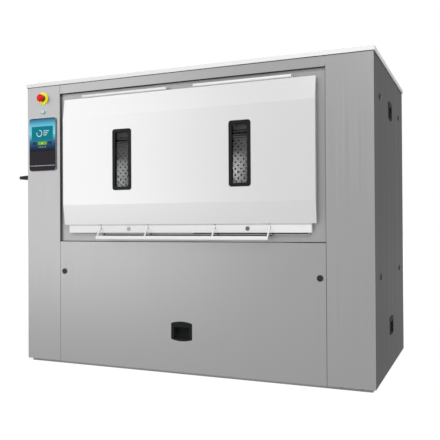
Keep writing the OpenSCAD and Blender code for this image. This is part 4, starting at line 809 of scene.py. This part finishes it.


# Lock receivers. Two round plugs in the door's lower strip cover the bushes that catch the
# pegs on the surround. One is gray and the other dark. Black plates behind the strip's four
# slots, where the arms of the pull bar pass through, are painted shade that darkens the slots.
BUSH_R = 10.5 * MM
PLUG_H = 1.2 * MM
STRIP_Y = 518 * MM
PLUG_Z = 729 * MM
LIGHT_PLUG_X = -297 * MM
DARK_PLUG_X = 356 * MM
SLOT_HALF_W = 10 * MM
SLOT_Z = (726 * MM, 766 * MM)
SLOT_PLATE_Y = 500 * MM
SLOT_PLATE_T = 0.8 * MM

bezel_plastic = moulded("moulded_black_abs", "#121314", rough=0.4, sheen=0.12)
gray_plastic = moulded("moulded_mid_gray_polyamide", "#999a9b", rough=0.45)
dark_plastic = moulded("moulded_dark_gray_polyamide", "#515254", rough=0.45)
for name, way in (("front", -1), ("rear", 1)):
    for x, finish, shade in ((LIGHT_PLUG_X, gray_plastic, "light"), (DARK_PLUG_X, dark_plastic, "dark")):
        bm = bmesh.new()
        lathe(bm, facing(name, (-way * x, way * STRIP_Y, PLUG_Z)), [(BUSH_R * 0.97, -1 * MM),
            (BUSH_R * 0.97, PLUG_H - 0.4 * MM), (BUSH_R * 0.85, PLUG_H),
            (BUSH_R * 0.5, PLUG_H - 0.3 * MM), (0, PLUG_H - 0.3 * MM)], steps=36)
        put(f"{name}_{shade}_lock_plug", bm, finish, f"{name}_door")
    # The black plates behind the slots are painted shade.
    bm = bmesh.new()
    y = sorted(way * (SLOT_PLATE_Y + out * SLOT_PLATE_T / 2) for out in (-1, 1))
    for x in ARMS:
        box_between(bm, (x - SLOT_HALF_W, y[0], SLOT_Z[0]), (x + SLOT_HALF_W, y[1], SLOT_Z[1]))
    put(f"{name}_slot_shade_plates", bm, bezel_plastic, f"{name}_door")


# Hinges. Long barrels of drawn steel in three knuckles, stoved in white like the door's frame,
# on plain bright pins.
dress("hinge_knuckles", frame_white, 0.6)
dress("hinge_pins", bright_steel, 0.5)


# Windows. Black moulded bezels hold panes of toughened glass in the door skin. The pane takes a
# little of the light and lets the rest straight through, as a clear flat sheet does.
BEZEL_W = 112 * MM
BEZEL_LIP = 18 * MM
BEZEL_R = 14 * MM
BEZEL_INNER_R = 7 * MM
BEZEL_WALL = 3 * MM
LIP_DEPTH = 14 * MM
EDGE_R = 2 * MM

glass = uneven_finish("toughened_glass", "#0c0f0e", 0.0, 0.03, 80.0, 0.1, 0.01, Alpha=0.06,
    Specular_IOR_Level=1.0)


def round_rect(w, h, r, steps=6):
    """The outline of a rectangle with round corners, about its middle."""
    points = []
    for cx, cy, start in ((w / 2 - r, h / 2 - r, 0), (r - w / 2, h / 2 - r, 90),
            (r - w / 2, r - h / 2, 180), (w / 2 - r, r - h / 2, 270)):
        for i in range(steps + 1):
            turn = math.radians(start + 90 * i / steps)
            points.append((cx + r * math.cos(turn), cy + r * math.sin(turn)))
    return points


for side, way in (("front", -1), ("rear", 1)):
    low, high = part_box(f"{side}_window_bezels")
    tall = high.z - low.z
    deep = high.y - low.y
    section = ((0, 0), (0, deep - EDGE_R), (EDGE_R * 0.3, deep - EDGE_R * 0.3), (EDGE_R, deep),
        (BEZEL_LIP - EDGE_R, deep), (BEZEL_LIP - EDGE_R * 0.3, deep - EDGE_R * 0.3),
        (BEZEL_LIP, deep - EDGE_R), (BEZEL_LIP, deep - LIP_DEPTH), (BEZEL_WALL, deep - LIP_DEPTH),
        (BEZEL_WALL, 0))
    bm = bmesh.new()
    for x in (low.x + BEZEL_W / 2, high.x - BEZEL_W / 2):
        place = facing(side, (x, high.y if way < 0 else low.y, (low.z + high.z) / 2))
        rings = [[bm.verts.new(place @ Vector((u, v, d))) for u, v in
            round_rect(BEZEL_W - 2 * inset, tall - 2 * inset, max(BEZEL_R - inset, BEZEL_INNER_R))]
            for inset, d in section]
        join_rings(bm, rings + rings[:1])
    put(f"{side}_window_bezels_moulded", bm, bezel_plastic, f"{side}_door",
        [f"{side}_window_bezels"])
    dress(f"{side}_window_panes", glass, 0.5)


# Pull bars. A flat rounded bar welded to four flat arms, on a shaft that turns inside the door's
# frame, and stoved in white like the frame.
for side in ("front", "rear"):
    dress(f"{side}_pull_bar", frame_white, 1.0)


# Casing. Panels of stainless sheet, ground with an upright grain and folded at their edges. The
# side panels are drawn darker than the front's sheet as painted shade, with a grayed grazing
# reflection, and their faint upright bands are a painted reflection.
# The grain is drawn coarser than the real one, so that it shows.
GRAIN_MM = 5.0
GRAIN_RUN_MM = 700
BAND_MM = 105
BAND_RUN_MM = 4000
SIDE_TINT = "#bcbcbc"

casing = grained_steel("upright_grained_stainless", "#939393", GRAIN_MM, GRAIN_RUN_MM, rough=0.4,
    contrast=0.02)
for node in ("left_column_panel", "right_column_panel", "top_fascia", "lower_service_panel",
        "rear_column_panels", "rear_fascia", "rear_lower_panel"):
    dress(node, casing, 1.0)
# The side sheet's darker colour and grayed edge reflection are painted shade, and its upright bands are a
# painted reflection.
side_sheet = grained_steel("grained_stainless_painted_shade", "#58585a", BAND_MM, BAND_RUN_MM, rough=0.42,
    contrast=0.12)
side_shader = side_sheet.node_tree.nodes["Principled BSDF"]
side_shader.inputs["Specular Tint"].default_value = colour(SIDE_TINT)
dress("left_side_panel", side_sheet, 1.0)
dress("right_side_panel", side_sheet, 1.0)


# Panel screws. The left side panel and the rear lower panel have no locks. They are held by
# button heads of stainless steel with a hexagon socket.
SCREW_R = 6 * MM
SCREW_H = 2.6 * MM
SOCKET_R = 2.52 * MM
SCREW_IN = 34 * MM
LEFT_SHARES = (0.03, 0.35, 0.66, 0.97)
REAR_SHARES = (0.05, 0.5, 0.95)


def button_head(bm, place):
    """A domed screw head with a hexagon socket."""
    r, h = SCREW_R, SCREW_H
    lathe(bm, place, [(r, 0), (r * 0.93, h * 0.45), (r * 0.7, h * 0.9), (SOCKET_R, h),
        (SOCKET_R, h * 0.3), (0, h * 0.3)], steps=24)


left_low, left_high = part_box("left_side_panel")
rear_low, rear_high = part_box("rear_lower_panel")
bm = bmesh.new()
for share in LEFT_SHARES:
    for y in (left_low.y + SCREW_IN, left_high.y - SCREW_IN):
        z = left_low.z + (left_high.z - left_low.z) * share
        button_head(bm, facing("left", (left_low.x, y, z)))
for share in REAR_SHARES:
    for x in (rear_low.x + SCREW_IN, rear_high.x - SCREW_IN):
        z = rear_low.z + (rear_high.z - rear_low.z) * share
        button_head(bm, facing("rear", (x, rear_high.y, z)))
put("panel_screws", bm, bright_steel, "cabinet")


# Top cover. Folded from sheet with a deep rim all round, and coated in pale gray. A thin black
# rubber strip under its rim is painted shade, for the shadow line there.
COVER_LAP = 5 * MM
SEAL_H = 2.5 * MM
SEAL_OUT = 0.8 * MM

cover_coat = powder_coat("pale_gray_powder_coat", "#d1d2d2", rough=0.4, sheen=0.1)
dress("top_cover", cover_coat, 2.0, segments=3)
half_w = cover_high.x - COVER_LAP
half_d = cover_high.y - COVER_LAP
seal_z = cover_low.z - SEAL_H
# The black strip under the rim is painted shade.
bm = bmesh.new()
for way in (-1, 1):
    x = sorted((way * (half_w + SEAL_OUT), way * (half_w - SEAL_OUT)))
    y = sorted((way * (half_d + SEAL_OUT), way * (half_d - SEAL_OUT)))
    box_between(bm, (-half_w - SEAL_OUT, y[0], seal_z), (half_w + SEAL_OUT, y[1], cover_low.z))
    box_between(bm, (x[0], SEAL_OUT - half_d, seal_z), (x[1], half_d - SEAL_OUT, cover_low.z))
put("cover_shade_seal", bm, rubber, "cabinet")


# Flush pulls. Moulded in dark glass-filled plastic, with arched rims and a deep finger pocket.
pull_plastic = moulded("moulded_charcoal_polyamide", "#1d1e1f", rough=0.65, sheen=0.05, grain_mm=1.2)
dress("flush_pulls", pull_plastic, 0.9, segments=3)


# Quarter-turn locks. Die-cast heads with a black chromate finish, a gray turned collar and a
# sunk square for the key. The collar's lighter gray is a painted highlight for the head's lit rim.
# The cam behind the panel is stamped steel.
HEAD_R = 15 * MM
SQUARE = 8 * MM
LOCK_LOW_Z = 501 * MM
LOCK_HIGH_Z = 1342 * MM
LOCK_FRONT_X = 703.5 * MM
LOCK_SIDE_Y = 336 * MM

lock_metal = grained_steel("black_chromated_zinc", "#2c2d2e", 1.5, 3, rough=0.35, contrast=0.02)
# The collar's lighter gray is a painted highlight of the lit rim.
collar_metal = grained_steel("gray_zinc_painted_highlight", "#58595b", 1.5, 3, rough=0.5, contrast=0.02)
key_way = moulded("blackened_key_way", "#1a1a1b", rough=0.6)
for name in ("front_left", "front_right", "side_front_low", "side_front_high", "side_rear_low",
        "side_rear_high"):
    node = f"lock_{name}"
    low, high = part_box(node)
    dress(node, lock_metal, 0.8, segments=3)
    if name.startswith("front"):
        place = facing("front", (math.copysign(LOCK_FRONT_X, low.x), low.y, LOCK_LOW_Z))
    else:
        z = LOCK_LOW_Z if name.endswith("low") else LOCK_HIGH_Z
        place = facing("right", (high.x, math.copysign(LOCK_SIDE_Y, low.y), z))
    bm = bmesh.new()
    lathe(bm, place, [(HEAD_R * 0.8, -0.3 * MM), (HEAD_R * 0.82, 0.9 * MM), (HEAD_R * 0.9, 0.9 * MM),
        (HEAD_R * 0.94, -0.3 * MM)], steps=40)
    put(f"{node}_collar", bm, collar_metal, node)
    bm = bmesh.new()
    lathe(bm, place, [(SQUARE * 0.7, -0.2 * MM), (SQUARE * 0.7, 1.4 * MM), (SQUARE * 0.6, 1.6 * MM),
        (SQUARE * 0.5, 1.6 * MM), (SQUARE * 0.5, 0.2 * MM), (0, 0.2 * MM)], steps=4)
    put(f"{node}_key_square", bm, key_way, node)


# Emergency stop. A red mushroom head on a black collar, on a round yellow plate, all moulded. Its
# shank passes through the column, and the head's neck slides in it.
PLATE_T = 3 * MM
SHANK_R = 17 * MM
SHANK_BACK = 28 * MM
NECK_R = 10.4 * MM
NECK_HOLE_R = 11 * MM
NECK_BACK = 9 * MM


def round_place(node):
    """A round node on the column: its middle's x and z, its radius and how far it stands proud."""
    low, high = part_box(node)
    return (low.x + high.x) / 2, (low.z + high.z) / 2, (high.x - low.x) / 2, -low.y - panel_y


yellow = moulded("moulded_yellow_polycarbonate", "#f2e40a", rough=0.35)
red = moulded("moulded_red_polyamide", "#cc0008", rough=0.32, sheen=0.2)
stop_x, stop_z, plate_r, out = round_place("estop_base")
head_r, tip = round_place("estop_head")[2:]
place = facing("front", (stop_x, -panel_y, stop_z))
bm = bmesh.new()
lathe(bm, place, [(SHANK_R, -SHANK_BACK), (SHANK_R + 0.5 * MM, 0), (plate_r - 1 * MM, 0),
    (plate_r, 1 * MM), (plate_r - 0.8 * MM, PLATE_T), (SHANK_R + 3 * MM, PLATE_T),
    (SHANK_R + 2 * MM, PLATE_T - 0.6 * MM), (SHANK_R - 3 * MM, PLATE_T - 0.6 * MM)], steps=64)
put("estop_plate", bm, yellow, "cabinet", ["estop_base"])
bm = bmesh.new()
lathe(bm, place, [(NECK_HOLE_R, 0), (SHANK_R, 0), (SHANK_R, out * 0.55), (SHANK_R - 1.5 * MM, out * 0.62),
    (SHANK_R - 1.5 * MM, out - 1 * MM), (SHANK_R - 2.5 * MM, out), (NECK_HOLE_R, out), (NECK_HOLE_R, 0)],
    steps=64)
put("estop_collar", bm, black_plastic, "cabinet")
bm = bmesh.new()
lathe(bm, place, [(0, -NECK_BACK), (NECK_R, -NECK_BACK), (NECK_R, tip - 15 * MM),
    (head_r - 3 * MM, tip - 15 * MM), (head_r - 0.6 * MM, tip - 14 * MM), (head_r, tip - 11 * MM),
    (head_r - 0.4 * MM, tip - 7 * MM), (head_r - 3 * MM, tip - 3.6 * MM), (head_r * 0.6, tip - 1.4 * MM),
    (head_r * 0.3, tip - 0.3 * MM), (0, tip)], steps=64)
put("estop_mushroom", bm, red, "estop_head", ["estop_head"], sharp=50)


# Push button. A milky cap with a plain bar on it, in a turned steel bezel with a ring of lit
# teal acrylic.
TEAL = "#2b9aa4"
TEAL_GLOW = 0.12
RIM_H = 3.2 * MM
RIM_BACK = 20 * MM
RING_H = 4 * MM
CAP_BACK = 9 * MM
CAP_GAP = 0.3 * MM
MARK_L = 13 * MM
MARK_W = 3.6 * MM
MARK_H = 1 * MM

button_x, button_z, bezel_r = round_place("button_bezel")[:3]
cap_r, tip = round_place("button_cap")[2:]
place = facing("front", (button_x, -panel_y, button_z))
bm = bmesh.new()
lathe(bm, place, [(bezel_r - 4 * MM, -RIM_BACK), (bezel_r - 3 * MM, 0), (bezel_r, 0),
    (bezel_r, RIM_H - 0.6 * MM), (bezel_r - 0.6 * MM, RIM_H), (cap_r + CAP_GAP, RIM_H),
    (cap_r + CAP_GAP, -RIM_BACK)], steps=56)
put("button_rim", bm, bright_steel, "cabinet", ["button_bezel"])
teal_lit = moulded("lit_teal_acrylic", TEAL, rough=0.25)
lamp_light = teal_lit.node_tree.nodes["Principled BSDF"].inputs
lamp_light["Emission Color"].default_value = colour(TEAL)
lamp_light["Emission Strength"].default_value = TEAL_GLOW
bm = bmesh.new()
lathe(bm, place, [(cap_r + 0.4 * MM, RIM_H - 0.1 * MM), (cap_r + 0.6 * MM, RING_H),
    (bezel_r - 1.4 * MM, RING_H), (bezel_r - 0.9 * MM, RIM_H - 0.1 * MM)], steps=56)
put("button_lit_ring", bm, teal_lit, "cabinet")
milky = moulded("milky_acrylic", "#b4cccf", rough=0.35, sheen=0.2)
bm = bmesh.new()
lathe(bm, place, [(0, -CAP_BACK), (cap_r, -CAP_BACK), (cap_r, tip - 1.4 * MM),
    (cap_r - 1.4 * MM, tip - 0.2 * MM), (0, tip)], steps=48)
put("button_cap_moulded", bm, milky, "button_cap", ["button_cap"])
bm = bmesh.new()
lean = Matrix.Translation((button_x, -panel_y - tip, button_z)) @ Matrix.Rotation(math.radians(-45), 4, "Y")
rounded_box(bm, (-MARK_L / 2, -0.05 * MM, -MARK_W / 2), (MARK_L / 2, MARK_H, MARK_W / 2), 0.4 * MM)
bmesh.ops.transform(bm, matrix=lean, verts=bm.verts)
put("button_mark", bm, gray_plastic, "button_cap")


# Touch panel. A gray moulded housing with a dark glass front over all of its face. Its picture
# is plain and our own: a lit sky-blue field with a ring, three bars, a green key between two
# tiles and a row of dots, and no words. Each layer of it lies just over the one before.
GLASS_R = 16 * MM
FIELD_H = 176 * MM
FIELD_TOP = 0.5 * MM
LAYER = 0.05 * MM
LINE_UP = 24 * MM
LIT_STRENGTH = 0.8
SKY_STOPS = ((0.0, "#1d1a28"), (0.12, "#26405f"), (0.3, "#3a7396"), (0.55, "#92ecff"),
    (0.8, "#76d4f0"), (1.0, "#2f78a4"))
# The picture's own sizes, and its places from the middle of the field, are in mm
RING_STEPS = 40
RING_SHARE = 0.8
RING_AT = (-20, 10)
RING_R = (15, 19)
KEY_UP = -45
BAR_WIDTHS = (38, 30, 22)
BARS_AT = (8, 22)
BAR_PITCH = 11
DOT_COUNT = 5
DOT_W = 4
DOT_ROUND = 1.9
DOTS_UP = -66
ARROW = ((-4, -5), (5, 0), (-4, 5))
# Piece, finish, colour, size with corner radius, places across, place up and layer
PLATES = (
    ("screen_card", "lit_teal_card", "#0a8999", (144, 78, 5), (0,), 9, 2),
    ("screen_key", "lit_green_key", "#86c519", (58, 18, 4), (0,), KEY_UP, 3),
    ("screen_tiles", "lit_navy_tiles", "#24466b", (26, 18, 3), (-52, 52), KEY_UP, 3),
)

screen_plastic = moulded("moulded_gray_pc_abs", "#8e9093", rough=0.4)
screen_low, screen_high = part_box("touch_screen_glass")
dress("touch_screen_housing", screen_plastic, 1.8, segments=3)
dark_glass = uneven_finish("black_backed_glass", "#17121b", 0.0, 0.08, 60.0, 0.08, 0.03,
    Specular_IOR_Level=0.1)


def lit(name, code):
    """A lit area of the screen: it shines in its own colour under the glass front."""
    return new_finish(name, "#101014", 0.0, 0.3, Emission_Strength=LIT_STRENGTH,
        Specular_IOR_Level=0.0, Emission_Color=colour(code))


def inlay(bm, place, outline, at_mm=(0, 0), low=-0.2 * MM, high=0.0):
    """A thin flat plate of an outline, between two depths of its place."""
    rings = [[bm.verts.new(place @ Vector((at_mm[0] * MM + u, at_mm[1] * MM + v, d)))
        for u, v in outline] for d in (low, high)]
    bm.faces.new(rings[1])
    join_rings(bm, rings)


def show(name, bm, finish, stands_for=()):
    """A part of the touch panel's front, on the column."""
    put(name, bm, finish, "cabinet", stands_for)


face_low, face_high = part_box("touch_screen_housing")
field_w = face_high.x - face_low.x - 1 * MM
screen_x = (screen_low.x + screen_high.x) / 2
field_z = screen_high.z - FIELD_TOP - FIELD_H / 2
bm = bmesh.new()
inlay(bm, facing("front", (screen_x, screen_low.y, (face_low.z + face_high.z) / 2)),
    round_rect(face_high.x - face_low.x, face_high.z - face_low.z, GLASS_R),
    low=screen_low.y - screen_high.y)
show("touch_screen_front", bm, dark_glass, ["touch_screen_glass"])

place = facing("front", (screen_x, screen_low.y, field_z))
sky, tree, shader = lit("lit_sky_field", "#7fd4ec")
spot = add(tree, "ShaderNodeTexCoord")
height = add(tree, "ShaderNodeSeparateXYZ", {"Vector": spot.outputs["Object"]})
rise = add(tree, "ShaderNodeMapRange", {"Value": height.outputs["Z"],
    "From Min": field_z - FIELD_H / 2, "From Max": field_z + FIELD_H / 2})
ramp = add(tree, "ShaderNodeValToRGB", {"Fac": rise.outputs["Result"]})
for at, code in SKY_STOPS[1:-1]:
    ramp.color_ramp.elements.new(at)
for element, (at, code) in zip(ramp.color_ramp.elements, SKY_STOPS):
    element.position = at
    element.color = colour(code)
tree.links.new(ramp.outputs["Color"], shader.inputs["Emission Color"])
bm = bmesh.new()
inlay(bm, place, round_rect(field_w, FIELD_H, GLASS_R), high=LAYER)
show("screen_field", bm, sky)

for name, finish_name, code, (w, h, r), across, up_mm, layer in PLATES:
    bm = bmesh.new()
    for x in across:
        inlay(bm, place, round_rect(w * MM, h * MM, r * MM), (x, up_mm), high=layer * LAYER)
    show(name, bm, lit(finish_name, code)[0])

light_mark = lit("lit_white_marks", "#eafcff")[0]
bm = bmesh.new()
inner, outer = RING_R
for i in range(int(RING_STEPS * RING_SHARE)):
    corners = []
    for step, r in ((i, inner), (i + 1, inner), (i + 1, outer), (i, outer)):
        turn = math.pi / 2 - 2 * math.pi * step / RING_STEPS
        corners.append((r * MM * math.cos(turn), r * MM * math.sin(turn)))
    inlay(bm, place, corners, RING_AT, high=3 * LAYER)
spots = [(w, BARS_AT[0] + w / 2, BARS_AT[1] - n * BAR_PITCH) for n, w in enumerate(BAR_WIDTHS)]
spots += [(DOT_W, (n - (DOT_COUNT - 1) / 2) * BAR_PITCH, DOTS_UP) for n in range(DOT_COUNT)]
for w, x, up_mm in spots:
    inlay(bm, place, round_rect(w * MM, DOT_W * MM, DOT_ROUND * MM), (x, up_mm), high=3 * LAYER)
inlay(bm, place, [(u * MM, v * MM) for u, v in ARROW], (0, KEY_UP), high=4 * LAYER)
show("screen_marks", bm, light_mark)

trim = uneven_finish("printed_gray_line", "#9b98a0", 0.0, 0.3, 20.0, 0.05, 0.03)
bm = bmesh.new()
inlay(bm, facing("front", (screen_x, screen_low.y, screen_low.z + LINE_UP)),
    round_rect(screen_high.x - screen_low.x - 2 * MM, 3 * MM, 0.5 * MM), high=LAYER)
show("screen_lower_line", bm, trim)


# Main isolator. A black plastic switch body on the left side, with a long lever handle that
# reaches forward past the casing's front corner.
handle_plastic = moulded("moulded_matt_black_polyamide", "#1b1c1d", rough=0.5, sheen=0.15)
dress("isolator_box", black_plastic, 3.0, segments=3)
dress("isolator_handle", handle_plastic, 2.0, segments=3)
